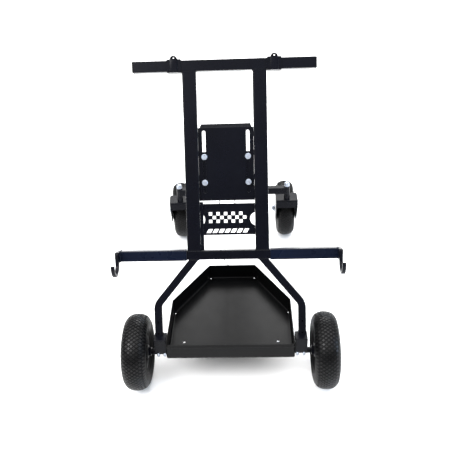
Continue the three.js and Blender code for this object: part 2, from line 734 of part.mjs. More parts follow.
function tailMeshes() {
  const made = [namedMesh("rear_beam", rearBeam(), PAINT)];
  for (const { name, side } of SIDES) {
    made.push(namedMesh(`tail_tube_${name}`, tailTube(side), PAINT));
    made.push(namedMesh(`swivel_housing_${name}`, swivelHousing(side), PAINT));
  }
  return made;
}

// ---------- casters (origin on the floor under the kingpin, the wheel trails along +y) ----------

const FORK_BOSS = 26;

// A U of folded plate: crown over the tyre, front flange, and a leg to each end of the wheel's axle
function casterFork() {
  const { halfWidth, sheet, top, crownBack, crownFront, flangeBottom } = FORK;
  const outline = new THREE.Shape();
  outline.moveTo(crownFront, top);
  outline.lineTo(crownFront, flangeBottom);
  outline.lineTo(37, 124);
  outline.lineTo(CASTER_TRAIL - 8, WHEEL_RADIUS - FORK_BOSS + 1);
  outline.absarc(CASTER_TRAIL, WHEEL_RADIUS, FORK_BOSS, -Math.PI / 2, Math.PI / 4, false);
  outline.lineTo(crownBack, top);
  outline.closePath();
  const legs = [-halfWidth, halfWidth - sheet].map((x) => plateAcrossX(outline, x, x + sheet, 8));
  const crown = block([-halfWidth, crownFront, top - sheet - 1], [halfWidth, crownBack, top]);
  const flange = block([-halfWidth, crownFront, flangeBottom], [halfWidth, crownFront + sheet, top]);
  return joined(...legs, crown, flange).subtract(
    rod(AXLE_RADIUS + FIT_GAP, "x", -80, 80, [0, CASTER_TRAIL, WHEEL_RADIUS]),
  );
}

const KINGPIN = { radius: 8, nut: 13.5, nutHeight: 15 };

function kingpin() {
  const bottom = FORK.top + FIT_GAP;
  const nut = HOUSING.top + FIT_GAP;
  return joined(
    rod(KINGPIN.radius, "z", bottom, nut + KINGPIN.nutHeight + 4, [0, 0, 0]),
    rod(KINGPIN.nut, "z", nut, nut + KINGPIN.nutHeight, [0, 0, 0], HEX),
  );
}

function casterAxle() {
  const centre = [0, CASTER_TRAIL, WHEEL_RADIUS];
  const outer = FORK.halfWidth + FIT_GAP;
  const inner = FORK.halfWidth - FORK.sheet - FIT_GAP;
  const collar = HUB_HALF_LENGTH + FIT_GAP;
  return joined(
    rod(AXLE_RADIUS, "x", -outer - 12, outer + 12, centre),
    rod(15, "x", -outer - 9, -outer, centre, HEX),
    rod(15, "x", outer, outer + 9, centre, HEX),
    rod(14, "x", -inner, -collar, centre),
    rod(14, "x", collar, inner, centre),
  );
}

function caster(name, side) {
  const group = new THREE.Group();
  group.add(namedMesh(`fork_${name}`, casterFork(), PAINT));
  group.add(namedMesh(`kingpin_${name}`, kingpin(), ZINC));
  group.add(namedMesh(`caster_axle_${name}`, casterAxle(), ZINC));
  const spinning = wheel(`caster_${name}`, side);
  spinning.position.set(0, CASTER_TRAIL, WHEEL_RADIUS);
  group.add(spinning);
  group.position.set(side * KINGPIN_X, BEAM.y, 0);
  group.rotation.z = side === LEFT ? LEFT_SWIVEL : 0;
  return group;
}

// ---------- assembly ----------

const mast = new THREE.Group();
mast.add(...mastMeshes(), ...tailOnMast());
mast.position.z = MAST_FOOT_Z;
mast.rotation.x = -MAST_LEAN;

const base = new THREE.Group();
base.add(mast, ...chassisMeshes(), ...tailMeshes());
base.add(...SIDES.map(({ name, side }) => caster(name, side)));
base.position.y = FRONT_AXLE_Y;

const stand = new THREE.Group();
stand.add(base);

export default stand;
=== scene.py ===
"""Looks of the upright kart stand: powder-coated tubes and plates, pneumatic wheels, zinc fasteners."""
import json
import math

import bmesh
import bpy
from mathutils import Matrix, Vector


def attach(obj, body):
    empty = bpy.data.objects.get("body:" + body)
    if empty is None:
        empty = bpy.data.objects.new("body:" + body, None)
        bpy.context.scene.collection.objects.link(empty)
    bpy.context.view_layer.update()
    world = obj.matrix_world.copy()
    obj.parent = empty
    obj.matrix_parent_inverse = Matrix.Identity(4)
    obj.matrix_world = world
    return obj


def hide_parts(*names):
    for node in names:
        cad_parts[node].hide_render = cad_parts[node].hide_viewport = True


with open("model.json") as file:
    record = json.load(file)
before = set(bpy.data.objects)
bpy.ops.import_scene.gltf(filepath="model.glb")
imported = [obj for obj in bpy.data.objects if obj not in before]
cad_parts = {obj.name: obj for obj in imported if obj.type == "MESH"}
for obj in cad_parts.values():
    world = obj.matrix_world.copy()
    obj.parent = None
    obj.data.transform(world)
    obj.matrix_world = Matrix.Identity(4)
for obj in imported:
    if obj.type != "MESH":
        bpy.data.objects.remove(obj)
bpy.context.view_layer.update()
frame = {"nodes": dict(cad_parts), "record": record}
SCENE = bpy.context.scene

# ---- places, in millimetres, as the CAD has them ----

SIDES = (("left", -1), ("right", 1))
X, Y, Z = (1, 0, 0), (0, 1, 0), (0, 0, 1)
LEAN = math.radians(25)
WHEELBASE = 970
AXLE_Y = -WHEELBASE / 2
WHEEL_R = 130
HALF_TRACK = 319
MAST_FOOT_Z = 165
BEAM_Y, BEAM_Z = 831, 302
KINGPIN_X = 240
TRAIL = WHEELBASE - BEAM_Y
LEFT_SWIVEL = math.radians(5)
CROSS_H = 305
RAIL_X = 113
RAIL_INNER_X = 90.5
TOP_BAR_H = 919
TOP_BAR_HALF = 291.5
TOP_BAR = 35
ARM_INNER_X, ARM_OUTER_X = 139, 361
SLOT_X = 71.5
GAP = 0.3

# ---- frames ----

# BASE and MAST take millimetres to the shared frame's metres; the three below them only turn.
BASE = Matrix.Scale(0.001, 4) @ Matrix.Translation((0, AXLE_Y, 0))
MAST = BASE @ Matrix.Translation((0, 0, MAST_FOOT_Z)) @ Matrix.Rotation(-LEAN, 4, "X")
FACING_FRONT = Matrix.Rotation(math.pi / 2, 4, "X")  # a plate's x, y become x, z
FACING_SIDE = Matrix(((0, 0, 1, 0), (1, 0, 0, 0), (0, 1, 0, 0), (0, 0, 0, 1)))  # its x, y become y, z
UPRIGHT = Matrix.Rotation(-math.pi / 2, 4, "Y")  # a lathe's x axis becomes z


def moved(matrix, x=0.0, y=0.0, z=0.0):
    return matrix @ Matrix.Translation((x, y, z))


def caster_matrix(side):
    turn = LEFT_SWIVEL if side < 0 else 0
    return moved(BASE, side * KINGPIN_X, BEAM_Y) @ Matrix.Rotation(turn, 4, "Z")


def along_axis(matrix, origin, direction):
    """A frame whose x axis points along a direction of the given frame."""
    turn = Vector((1, 0, 0)).rotation_difference(Vector(direction)).to_matrix().to_4x4()
    return moved(matrix, *origin) @ turn


# ---- camera, lights, floor (metres) ----

CAMERA_PLACE = (0.0755, AXLE_Y / 1000 - 1.4816, 1.5496)
CAMERA_DEGREES = {"pitch": 31.74, "yaw": 2.83, "roll": 2.585}
CAMERA_LENS = 46.71
CAMERA_SENSOR = 36
WHITE = (1, 1, 1)
LIGHTS = (  # name, place, target, size, power, colour
    ("key", (-1.9, -2.2, 2.9), (0, 0, 0.4), (1.6, 1.6), 110, WHITE),
    ("side", (2.9, -1.0, 1.3), (0, 0, 0.5), (0.5, 2.0), 60, (0.62, 0.78, 1.0)),
    ("back", (0.3, 2.8, 2.4), (0, 0, 0.5), (2.4, 1.2), 70, WHITE),
)
SKY = [  # share of the way up from the nadir, brightness
    (0.0, 0.3), (0.48, 0.8), (0.54, 0.8), (0.6, 0.34), (0.66, 0.34), (0.78, 1.2), (0.88, 2.8), (1.0, 4.4),
]
FLOOR_SIZE = 60
FLOOR_DROP = 0.0005
FLOOR_LOOK = ((0.95, 0.95, 0.95), 0.9)


def linked(name, data):
    item = bpy.data.objects.new(name, data)
    SCENE.collection.objects.link(item)
    return item


def look_camera():
    data = bpy.data.cameras.new("camera")
    data.sensor_width = CAMERA_SENSOR
    data.lens = CAMERA_LENS
    camera = linked("camera", data)
    pitch, yaw, roll = (math.radians(CAMERA_DEGREES[key]) for key in ("pitch", "yaw", "roll"))
    turn = Matrix.Rotation(yaw, 4, "Z") @ Matrix.Rotation(math.pi / 2 - pitch, 4, "X")
    turn = turn @ Matrix.Rotation(-roll, 4, "Z")
    camera.matrix_world = Matrix.Translation(CAMERA_PLACE) @ turn
    SCENE.camera = camera


def area_light(name, place, target, size, power, colour):
    data = bpy.data.lights.new(name, "AREA")
    data.shape = "RECTANGLE"
    data.size, data.size_y = size
    data.energy = power
    data.color = colour
    aim = (Vector(target) - Vector(place)).to_track_quat("-Z", "Y")
    linked(name, data).matrix_world = Matrix.Translation(place) @ aim.to_matrix().to_4x4()


def studio():
    """A soft dome, dim near the horizon and bright overhead, over a white floor."""
    world = bpy.data.worlds.new("studio")
    SCENE.world = world
    world.use_nodes = True
    tree = world.node_tree
    coords = tree.nodes.new("ShaderNodeTexCoord")
    split = shader_node(tree, "SeparateXYZ", coords.outputs["Generated"], "Vector")
    height = shader_node(tree, "MapRange", split.outputs["Z"], "Value", {"From Min": -1})
    dome = ramp(tree, height.outputs["Result"], [(at, (v, v, v)) for at, v in SKY])
    tree.links.new(dome, tree.nodes["Background"].inputs["Color"])
    for light in LIGHTS:
        area_light(*light)
    bpy.ops.mesh.primitive_plane_add(size=FLOOR_SIZE, location=(0, 0, -FLOOR_DROP))
    floor = bpy.context.object
    floor.name = "studio_floor"
    floor.data.materials.append(plain_material("floor_white", *FLOOR_LOOK))
    SCENE.view_settings.view_transform = "Standard"


# ---- materials ----


def plain_material(name, colour, roughness, metallic=0.0, specular=0.5):
    material = bpy.data.materials.new(name)
    material.use_nodes = True
    shader = material.node_tree.nodes["Principled BSDF"]
    shader.inputs["Base Color"].default_value = (*colour, 1)
    shader.inputs["Roughness"].default_value = roughness
    shader.inputs["Metallic"].default_value = metallic
    shader.inputs["Specular IOR Level"].default_value = specular
    return material


def shader_node(tree, kind, source, socket, settings=()):
    """A node with one socket linked to a source and some of its inputs set."""
    node = tree.nodes.new("ShaderNode" + kind)
    for key, value in dict(settings).items():
        node.inputs[key].default_value = value
    tree.links.new(source, node.inputs[socket])
    return node


def noise(tree, scale, detail=3.0, rough=0.5):
    coords = tree.nodes.new("ShaderNodeTexCoord").outputs["Object"]
    settings = {"Scale": scale, "Detail": detail, "Roughness": rough}
    return shader_node(tree, "TexNoise", coords, "Vector", settings).outputs["Fac"]


def ramp(tree, value, stops):
    node = shader_node(tree, "ValToRGB", value, "Fac")
    elements = node.color_ramp.elements
    elements[0].position, elements[0].color = stops[0][0], (*stops[0][1], 1)
    elements[1].position, elements[1].color = stops[-1][0], (*stops[-1][1], 1)
    for position, colour in stops[1:-1]:
        elements.new(position).color = (*colour, 1)
    return node.outputs["Color"]


def spread(tree, value, low, high):
    return shader_node(tree, "MapRange", value, "Value", {"To Min": low, "To Max": high}).outputs["Result"]


def bump(tree, height, strength, distance):
    settings = {"Strength": strength, "Distance": distance}
    return shader_node(tree, "Bump", height, "Height", settings).outputs["Normal"]


def skin(material, tones, gloss, relief):
    """Links a drift of tone and of gloss and a fine relief: for each, its noise and its limits."""
    tree = material.node_tree
    inputs = tree.nodes["Principled BSDF"].inputs
    tree.links.new(ramp(tree, noise(tree, *tones[0]), tones[1]), inputs["Base Color"])
    tree.links.new(spread(tree, noise(tree, *gloss[0]), *gloss[1:]), inputs["Roughness"])
    tree.links.new(bump(tree, noise(tree, *relief[0]), *relief[1:]), inputs["Normal"])
    return material


def powder_coat(name, dark, light, roughness, specular):
    """Satin powder coat: orange-peel skin, a soft drift of tone and of gloss."""
    tones = ((6, 4), [(0.3, dark), (0.7, light)])
    gloss = ((22,), roughness - 0.04, roughness + 0.06)
    paint = plain_material(name, dark, roughness, specular=specular)
    return skin(paint, tones, gloss, ((700, 2, 0.4), 0.12, 0.0004))


RUBBER = (0.004, 0.004, 0.0045)
RUBBER_STOPS = [
    (0.35, (0.0012, 0.0012, 0.0015)), (0.6, (0.0022, 0.0022, 0.0024)), (0.8, (0.005, 0.005, 0.0048)),
]


def tyre_rubber(name, roughness, specular):
    gloss = ((60, 4), roughness - 0.06, roughness + 0.14)
    rubber = plain_material(name, RUBBER, roughness, specular=specular)
    return skin(rubber, ((30, 6), RUBBER_STOPS), gloss, ((1500, 2), 0.15, 0.0003))


ZINC = (0.78, 0.79, 0.81)
ZINC_STOPS = [(0.3, (0.36, 0.40, 0.47)), (0.7, (0.5, 0.54, 0.62))]


def zinc_plate():
    zinc = plain_material("zinc_plate", ZINC, 0.28, 1.0)
    return skin(zinc, ((180, 4), ZINC_STOPS), ((90,), 0.2, 0.4), ((900, 2), 0.1, 0.0003))


COATS = {  # dark tone, light tone, roughness, specular
    "frame_paint": ((0.0008, 0.001, 0.0026), (0.0014, 0.0018, 0.0042), 0.27, 0.1),
    # The arm paint's deep blue, bluer than the frame paint, is a painted reflection: the blue that the
    # side light throws on the right arm, put into the colour of both arms.
    "arm_paint": ((0.0008, 0.0022, 0.0075), (0.0013, 0.0034, 0.0115), 0.27, 0.14),
    "tray_paint": ((0.001, 0.001, 0.0012), (0.0017, 0.0017, 0.0019), 0.34, 0.1),
    "rim_steel": ((0.0014, 0.0015, 0.002), (0.0026, 0.0027, 0.0034), 0.36, 0.2),
    "cap_plastic": ((0.002, 0.002, 0.0023), (0.003, 0.003, 0.0034), 0.5, 0.1),
    "wire": ((0.02, 0.02, 0.022), (0.045, 0.045, 0.048), 0.42, 0.5),
}
MATERIALS = {name: powder_coat(name, *settings) for name, settings in COATS.items()}
MATERIALS["zinc"] = zinc_plate()
MATERIALS["tyre_rubber"] = tyre_rubber("tyre_rubber", 0.42, 0.07)
MATERIALS["tread_rubber"] = tyre_rubber("tread_rubber", 0.3, 0.22)


# ---- pieces and shading ----

# An edge stays sharp over these degrees, or over CREASE_DEGREES where one face is much larger.
SHARP = 38
SHARP_HEXAGON = 25
SHARP_BAR = 60
SHARP_CARVED = 32
SHARP_TREAD = 20
CREASE_DEGREES = 2
CREASE_AREAS = 6
PLANE_REACH = 1e-4


def as_mesh(bm, name):
    mesh = bpy.data.meshes.new(name)
    bm.to_mesh(mesh)
    bm.free()
    return mesh


def joined(name, meshes):
    bm = bmesh.new()
    for part in meshes:
        bm.from_mesh(part)
    return linked(name, as_mesh(bm, name))


def add_piece(name, meshes, slot, body, nodes=(), finish=None):
    """One object from its meshes, in a slot's finish, riding on a body in the place of CAD nodes."""
    piece = joined(name, meshes)
    piece.data.materials.append(MATERIALS[finish or slot])
    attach(piece, body)
    if nodes:
        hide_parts(*nodes)


def frame_piece(name, meshes, node, body="mast_frame"):
    """A piece in the frame's paint in the place of one CAD node."""
    add_piece(name, meshes, "frame_paint", body, [node])


def is_crease(edge, sharp):
    """True at a sharp edge, and where a wide flat face meets a much smaller one at an angle."""
    angle = edge.calc_face_angle(0)
    areas = sorted(face.calc_area() for face in edge.link_faces)
    return angle > sharp or (angle > math.radians(CREASE_DEGREES) and areas[1] > CREASE_AREAS * areas[0])


def shade(bm, sharp):
    """Smooth faces, except over the creases."""
    for edge in bm.edges:
        edge.smooth = len(edge.link_faces) == 2 and not is_crease(edge, math.radians(sharp))
    for face in bm.faces:
        face.smooth = True


def finished(bm, matrix, sharp=SHARP):
    """The bmesh as a mesh placed in the shared frame, smooth except over its creases."""
    bmesh.ops.recalc_face_normals(bm, faces=bm.faces)
    shade(bm, sharp)
    bm.transform(matrix)
    return as_mesh(bm, "part")


def evaluated_mesh(item):
    """A new mesh: the object's shape with its curve or its modifiers worked out."""
    bpy.context.view_layer.update()
    graph = bpy.context.evaluated_depsgraph_get()
    return bpy.data.meshes.new_from_object(item.evaluated_get(graph))


def cut_along(bm, point, normal, **options):
    geometry = bm.verts[:] + bm.edges[:] + bm.faces[:]
    return bmesh.ops.bisect_plane(
        bm, geom=geometry, plane_co=point, plane_no=normal, dist=PLANE_REACH, **options
    )


# ---- building blocks ----


def arc(cx, cy, radius, start, end, steps=12):
    """Points on an arc, from one angle in degrees to another."""
    angles = [math.radians(start + (end - start) * i / steps) for i in range(steps + 1)]
    return [(cx + radius * math.cos(a), cy + radius * math.sin(a)) for a in angles]


def about_x(bm, x, radius, angle):
    return bm.verts.new((x, radius * math.cos(angle), radius * math.sin(angle)))


def rounded_rectangle(width, depth, radius, steps=5):
    across, up = width / 2 - radius, depth / 2 - radius
    ring = arc(across, up, radius, 0, 90, steps) + arc(-across, up, radius, 90, 180, steps)
    return ring + arc(-across, -up, radius, 180, 270, steps) + arc(across, -up, radius, 270, 360, steps)


def bridge(bm, low, high):
    count = len(low)
    for i in range(count):
        bm.faces.new((low[i], low[(i + 1) % count], high[(i + 1) % count], high[i]))


def bridge_all(bm, rings):
    for low, high in zip(rings, rings[1:]):
        bridge(bm, low, high)


def trim(bm, point, normal):
    """Cuts away what lies beyond a plane and closes the tube wall that the cut opens."""
    cut = cut_along(bm, point, normal, clear_outer=True)
    edges = [item for item in cut["geom_cut"] if isinstance(item, bmesh.types.BMEdge)]
    bmesh.ops.bridge_loops(bm, edges=edges)


def tube(path, normal, size, matrix, wall=2.0, radius=3.0, trims=()):
    """A rolled rectangular tube along a path; `normal` is the direction of its depth."""
    path = [Vector(p) for p in path]
    normal = Vector(normal)
    width, depth = size
    edge = 0.5
    last = len(path) - 1
    outer = rounded_rectangle(width, depth, radius)
    inner = rounded_rectangle(width - 2 * wall, depth - 2 * wall, max(radius - wall, 0.5))
    bm = bmesh.new()

    def ring_at(i, points, forward=0.0, shrink=0.0):
        along = (path[min(i + 1, last)] - path[max(i - 1, 0)]).normalized()
        side = along.cross(normal).normalized() * (1 - 2 * shrink / width)
        up = side.cross(along).normalized() * (1 - 2 * shrink / depth)
        return [bm.verts.new(path[i] + along * forward + side * x + up * y) for x, y in points]

    outside = [ring_at(0, outer, 0, edge), ring_at(0, outer, edge)]
    outside += [ring_at(i, outer) for i in range(1, last)]
    outside += [ring_at(last, outer, -edge), ring_at(last, outer, 0, edge)]
    inside = [ring_at(i, inner) for i in range(last + 1)]
    bridge_all(bm, outside)
    bridge_all(bm, inside)
    bridge(bm, outside[0], inside[0])
    bridge(bm, outside[-1], inside[-1])
    for point, plane_normal in trims:
        trim(bm, point, plane_normal)
    return finished(bm, matrix)


def skinned(bm, rings):
    """Faces between rings of points, and one over each end."""
    bridge_all(bm, rings)
    bm.faces.new(rings[0])
    bm.faces.new(rings[-1])


def bar(length, width, depth, matrix, radius, edge):
    """A solid bar along the frame's x axis, its width along y and its depth along z."""
    bm = bmesh.new()
    section = rounded_rectangle(width, depth, radius)
    rings = []
    for at, shrink in ((0, edge), (edge * 0.3, edge * 0.3), (edge, 0), (length - edge, 0),
                       (length - edge * 0.3, edge * 0.3), (length, edge)):
        grow = (1 - 2 * shrink / width, 1 - 2 * shrink / depth)
        rings.append([bm.verts.new((at, y * grow[0], z * grow[1])) for y, z in section])
    skinned(bm, rings)
    return finished(bm, matrix)


def fold(bm, start, towards, radius, degrees):
    """Bends a flat plate past `start`, the way `towards` points: towards +z, or -z if negative."""
    steps = 6
    towards = Vector(towards)
    angle = math.radians(abs(degrees))
    side = 1 if degrees > 0 else -1
    for i in range(steps + 1):
        place = towards * (start + radius * angle * i / steps)
        cut_along(bm, place, towards)
    for vert in bm.verts:
        far = vert.co.dot(towards) - start
        if far <= 0:
            continue
        turn = min(far / radius, angle)
        reach = radius - side * vert.co.z
        beyond = max(far - radius * angle, 0)
        along = start + reach * math.sin(turn) + beyond * math.cos(turn)
        up = side * (radius - reach * math.cos(turn) + beyond * math.sin(turn))
        flat = Vector((vert.co.x, vert.co.y, 0))
        vert.co = flat - towards * flat.dot(towards) + towards * along + Vector((0, 0, up))


def plate(loops, thickness, matrix, edge=0.5, folds=()):
    """A plate with softened edges from an outline and its holes, in the frame's xy plane."""
    curve = bpy.data.curves.new("outline", "CURVE")
    curve.dimensions = "2D"
    curve.fill_mode = "BOTH"
    for loop in loops:
        spline = curve.splines.new("POLY")
        spline.points.add(len(loop) - 1)
        for point, (x, y) in zip(spline.points, loop):
            point.co = (x, y, 0, 1)
        spline.use_cyclic_u = True
    curve.extrude = thickness / 2 - edge
    curve.bevel_depth = edge
    curve.bevel_resolution = 1
    curve.offset = -edge
    holder = linked("outline", curve)
    bm = bmesh.new()
    bm.from_mesh(evaluated_mesh(holder))
    bpy.data.objects.remove(holder)
    bmesh.ops.remove_doubles(bm, verts=bm.verts, dist=0.01)
    for one in folds:
        fold(bm, *one)
    return finished(bm, matrix)


def lathe(profile, matrix, segments=48, closed=True):
    """A profile of (axial, radius) points turned about the frame's x axis."""
    bm = bmesh.new()
    rings = []
    for axial, radius in profile:
        count = segments if radius > 0 else 1
        angles = [2 * math.pi * i / segments for i in range(count)]
        rings.append([about_x(bm, axial, radius, a) for a in angles])
    pairs = list(zip(rings, rings[1:]))
    if closed:
        pairs.append((rings[-1], rings[0]))
    for low, high in pairs:
        for i in range(segments):
            j = (i + 1) % segments
            corners = [low[i % len(low)], low[j % len(low)], high[j % len(high)], high[i % len(high)]]
            corners = [c for k, c in enumerate(corners) if c is not corners[k - 1]]
            if len(corners) > 2:
                bm.faces.new(corners)
    return finished(bm, matrix)


def pin(radius, start, end, matrix, segments):
    """A plain solid cylinder along the frame's x axis."""
    return lathe([(start, 0), (start, radius), (end, radius), (end, 0)], matrix, segments, closed=False)


def washer(radius, hole, height, matrix):
    edge = [(height - 0.3, radius), (height, radius - 0.4)]
    return lathe([(0, hole), (0, radius)] + edge + [(height, hole)], matrix)


def hexagon(flats, height, matrix, hole=0.0):
    """A nut, or a bolt head with a dished top, its far corners turned off."""
    bm = bmesh.new()
    corner = flats / math.sqrt(3)
    chamfer = 0.9
    count = 48
    steps = 3

    def ring(axial, limit):
        out = []
        for i in range(count):
            angle = 2 * math.pi * i / count
            folded = (angle + math.pi / 6) % (math.pi / 3) - math.pi / 6
            r = min(flats / 2 / math.cos(folded), limit)
            out.append(about_x(bm, axial, r, angle))
        return out

    rings = [ring(0, corner)]
    for i in range(steps + 1):
        part = i / steps
        limit = corner - (corner - flats / 2 + 0.2) * part
        rings.append(ring(height - chamfer * (1 - part), limit))
    if hole:
        rings += [ring(height, hole), ring(0, hole), rings[0]]
    else:
        rings += [ring(height, flats * 0.36), ring(height - 0.4, flats * 0.33)]
        bm.faces.new(rings[-1])
        bm.faces.new(rings[0])
    bridge_all(bm, rings)
    return finished(bm, matrix, SHARP_HEXAGON)


def thread(radius, length, matrix):
    """A threaded stud end: close rings up to a chamfered tip."""
    pitch = 1.5
    profile = [(0, 0)]
    for i in range(max(int(length / pitch), 1)):
        profile += [(i * pitch, radius - 0.7), (i * pitch + pitch / 2, radius)]
    profile += [(length - 0.4, radius - 0.5), (length, radius - 1.2), (length, 0)]
    return lathe(profile, matrix, 24, closed=False)


def sweep(path, radius_at, matrix, sides=12):
    """A round bar along a path of points; its radius may change with the distance travelled."""
    points = [Vector(p) for p in path]
    last = len(points) - 1
    travelled = [0.0]
    for a, b in zip(points, points[1:]):
        travelled.append(travelled[-1] + (b - a).length)
    angles = [2 * math.pi * k / sides for k in range(sides)]
    bm = bmesh.new()
    rings = []
    across = None
    for i, point in enumerate(points):
        along = (points[min(i + 1, last)] - points[max(i - 1, 0)]).normalized()
        if across is None:
            across = along.orthogonal().normalized()
        across = (across - along * across.dot(along)).normalized()
        other = along.cross(across)
        r = radius_at(travelled[i], travelled[-1])
        around = [across * math.cos(a) + other * math.sin(a) for a in angles]
        rings.append([bm.verts.new(point + r * offset) for offset in around])
    skinned(bm, rings)
    return finished(bm, matrix, SHARP_BAR)


def round_bar(path, radius, matrix, sides):
    return sweep(path, lambda at, whole: radius, matrix, sides)


WELD_RIPPLE = 2.4


def weld(corners, matrix, radius=2.0):
    """A weld bead along a line of points, with the ripples of its overlapping puddles."""
    corners = [Vector(p) for p in corners]
    path = []
    for a, b in zip(corners, corners[1:]):
        count = max(int((b - a).length / (WELD_RIPPLE / 3)), 1)
        path += [a.lerp(b, i / count) for i in range(count)]
    path.append(corners[-1])

    def bead(at, whole):
        ends = min(at, whole - at) / (2 * radius)
        return radius * (0.84 + 0.16 * ((at / WELD_RIPPLE) % 1)) * min(1.0, 0.5 + 0.5 * ends)

    return sweep(path, bead, matrix, 8)


def weld_round(centre, across, up, width, depth, matrix, radius=2.0):
    """A weld bead all the way round a rectangular tube's end."""
    centre, across, up = Vector(centre), Vector(across), Vector(up)
    ring = rounded_rectangle(width, depth, 4, 3)
    points = [centre + across * x + up * y for x, y in ring]
    return weld(points + [points[0]], matrix, radius)


def carved(mesh, cutters):
    """The mesh with holes cut by other closed meshes."""
    target, tool = joined("part", [mesh]), joined("part", cutters)
    modifier = target.modifiers.new("cut", "BOOLEAN")
    modifier.object = tool
    modifier.solver = "EXACT"
    result = evaluated_mesh(target)
    for item in (target, tool):
        bpy.data.objects.remove(item)
    bm = bmesh.new()
    bm.from_mesh(result)
    shade(bm, SHARP_CARVED)
    return as_mesh(bm, "part")


# ---- wheels ----

TREAD_ROWS = 60
TREAD_COLUMNS = 7
TREAD_PITCH = 8.6
LUG_HEIGHT = 2.2
CARCASS_CROWN = WHEEL_R - LUG_HEIGHT
TYRE_HALF = 41.5
SHOULDER_R = 93
CROWN_POWER = 2.25
TYRE_BEAD = [  # share of the half width, radius
    (0.985, 86), (0.95, 79), (0.885, 72.5), (0.83, 69.5), (0.79, 69), (0.76, 66), (0.7, 62.5), (0.66, 61),
]
TYRE_INSIDE = [(22, 61), (30, 80), (27, 108), (12, 121)]
LUG_TOP_SHARE = 0.72
LUG_SUNK = 0.5
SHOULDER_BAR = ((0.80, -0.4), (0.80, 1.6), (0.93, 1.5), (0.975, -0.4))  # share of the half width, lift
SIDEWALL_RINGS = ((90, 0.4), (80, 1.4))  # radius, how far in from the tyre's side
SIDEWALL_RING = ((0, -1.3), (0.9, 0), (0, 1.3), (-0.9, 0))


def mirrored(profile, side):
    return [(side * x, r) for x, r in profile]


def crown_radius(x):
    """The carcass's radius at a place across the tread."""
    share = min(abs(x) / TYRE_HALF, 1.0)
    return SHOULDER_R + (CARCASS_CROWN - SHOULDER_R) * (1 - share**CROWN_POWER) ** (1 / CROWN_POWER)


def tyre_profile():
    """The carcass's section: its crown from left to right, then its beads and its inside."""
    steps = 22
    across = [-TYRE_HALF * math.cos(math.pi * i / steps) for i in range(steps + 1)]
    outer = [(x, crown_radius(x)) for x in across]
    right = [(TYRE_HALF * share, r) for share, r in TYRE_BEAD]
    left = mirrored(right, -1)[::-1]
    inside = TYRE_INSIDE + mirrored(TYRE_INSIDE, -1)[::-1]
    return left + outer + right + inside


def lug(bm, x, angle, half_x, half_angle):
    """One diamond block of the tread, sunk a little into the carcass."""
    low, high = [], []
    for dx, da in ((1, 0), (0, 1), (-1, 0), (0, -1)):
        for ring, share, lift in ((low, 1.0, -LUG_SUNK), (high, LUG_TOP_SHARE, LUG_HEIGHT)):
            px = x + dx * half_x * share
            pa = angle + da * half_angle * share
            ring.append(about_x(bm, px, crown_radius(px) + lift, pa))
    skinned(bm, [low, high])


def shoulder_bar(bm, side, angle, width):
    """One short bar of the tread's shoulder."""
    corners = []
    for share, lift in SHOULDER_BAR:
        x = side * TYRE_HALF * share
        corners.append((x, crown_radius(x) + lift))
    rings = []
    for a in (angle - width / 2, angle + width / 2):
        rings.append([about_x(bm, x, r, a) for x, r in corners])
    skinned(bm, rings)


def tread(matrix):
    bm = bmesh.new()
    step = 2 * math.pi / TREAD_ROWS
    middle = (TREAD_COLUMNS - 1) / 2
    for row in range(TREAD_ROWS):
        for column in range(TREAD_COLUMNS):
            angle = (row + 0.5 * (column % 2)) * step
            lug(bm, (column - middle) * TREAD_PITCH, angle, TREAD_PITCH * 0.86, step * 0.43)
        for side in (-1, 1):
            shoulder_bar(bm, side, (row + 0.5) * step, step * 0.45)
    return finished(bm, matrix, SHARP_TREAD)


def sidewall_rings(matrix):
    """Two thin raised rings on each sidewall."""
    meshes = []
    for x in (-TYRE_HALF, TYRE_HALF):
        for radius, inwards in SIDEWALL_RINGS:
            out = x - math.copysign(inwards, x)
            profile = [(out + dx, radius + dr) for dx, dr in SIDEWALL_RING]
            meshes.append(lathe(profile, matrix, 96))
    return meshes


RIM_HALF_PROFILE = [
    (0.3, 23), (2.8, 23), (2.8, 41), (4.2, 44.5), (8, 48.5), (12, 50.2), (22, 50.8), (24.6, 52.5),
    (26.6, 57), (28.2, 60.6), (27.6, 62.2), (26.2, 61.8), (25, 58), (23, 53.6), (21.6, 52.6),
    (11, 52.2), (6.5, 50.6), (1.6, 45.5), (0.3, 43),
]
HUB_PROFILE = [
    (-37, 10.6), (-37, 15.5), (-36, 16.5), (-35.2, 16.5), (-35.2, 19.5), (-36, 20.5), (-35.4, 22.4),
    (-33, 23), (-24, 23), (-20, 20.5), (20, 20.5), (24, 23), (33, 23), (35.4, 22.4), (36, 20.5),
    (35.2, 19.5), (35.2, 16.5), (36, 16.5), (37, 15.5), (37, 10.6),
]
VALVE_PROFILE = [
    (2, 0), (2, 5.2), (8, 4.6), (19, 3.9), (19, 3.0), (21, 3.0), (21, 3.9), (29, 3.9), (30, 3.2), (30, 0),
]
VALVE_CIRCLE = 46
VALVE_ANGLE = 90
RIM_BOLTS = 4
RIM_BOLT_CIRCLE = 37
RIM_FACE = 2.9


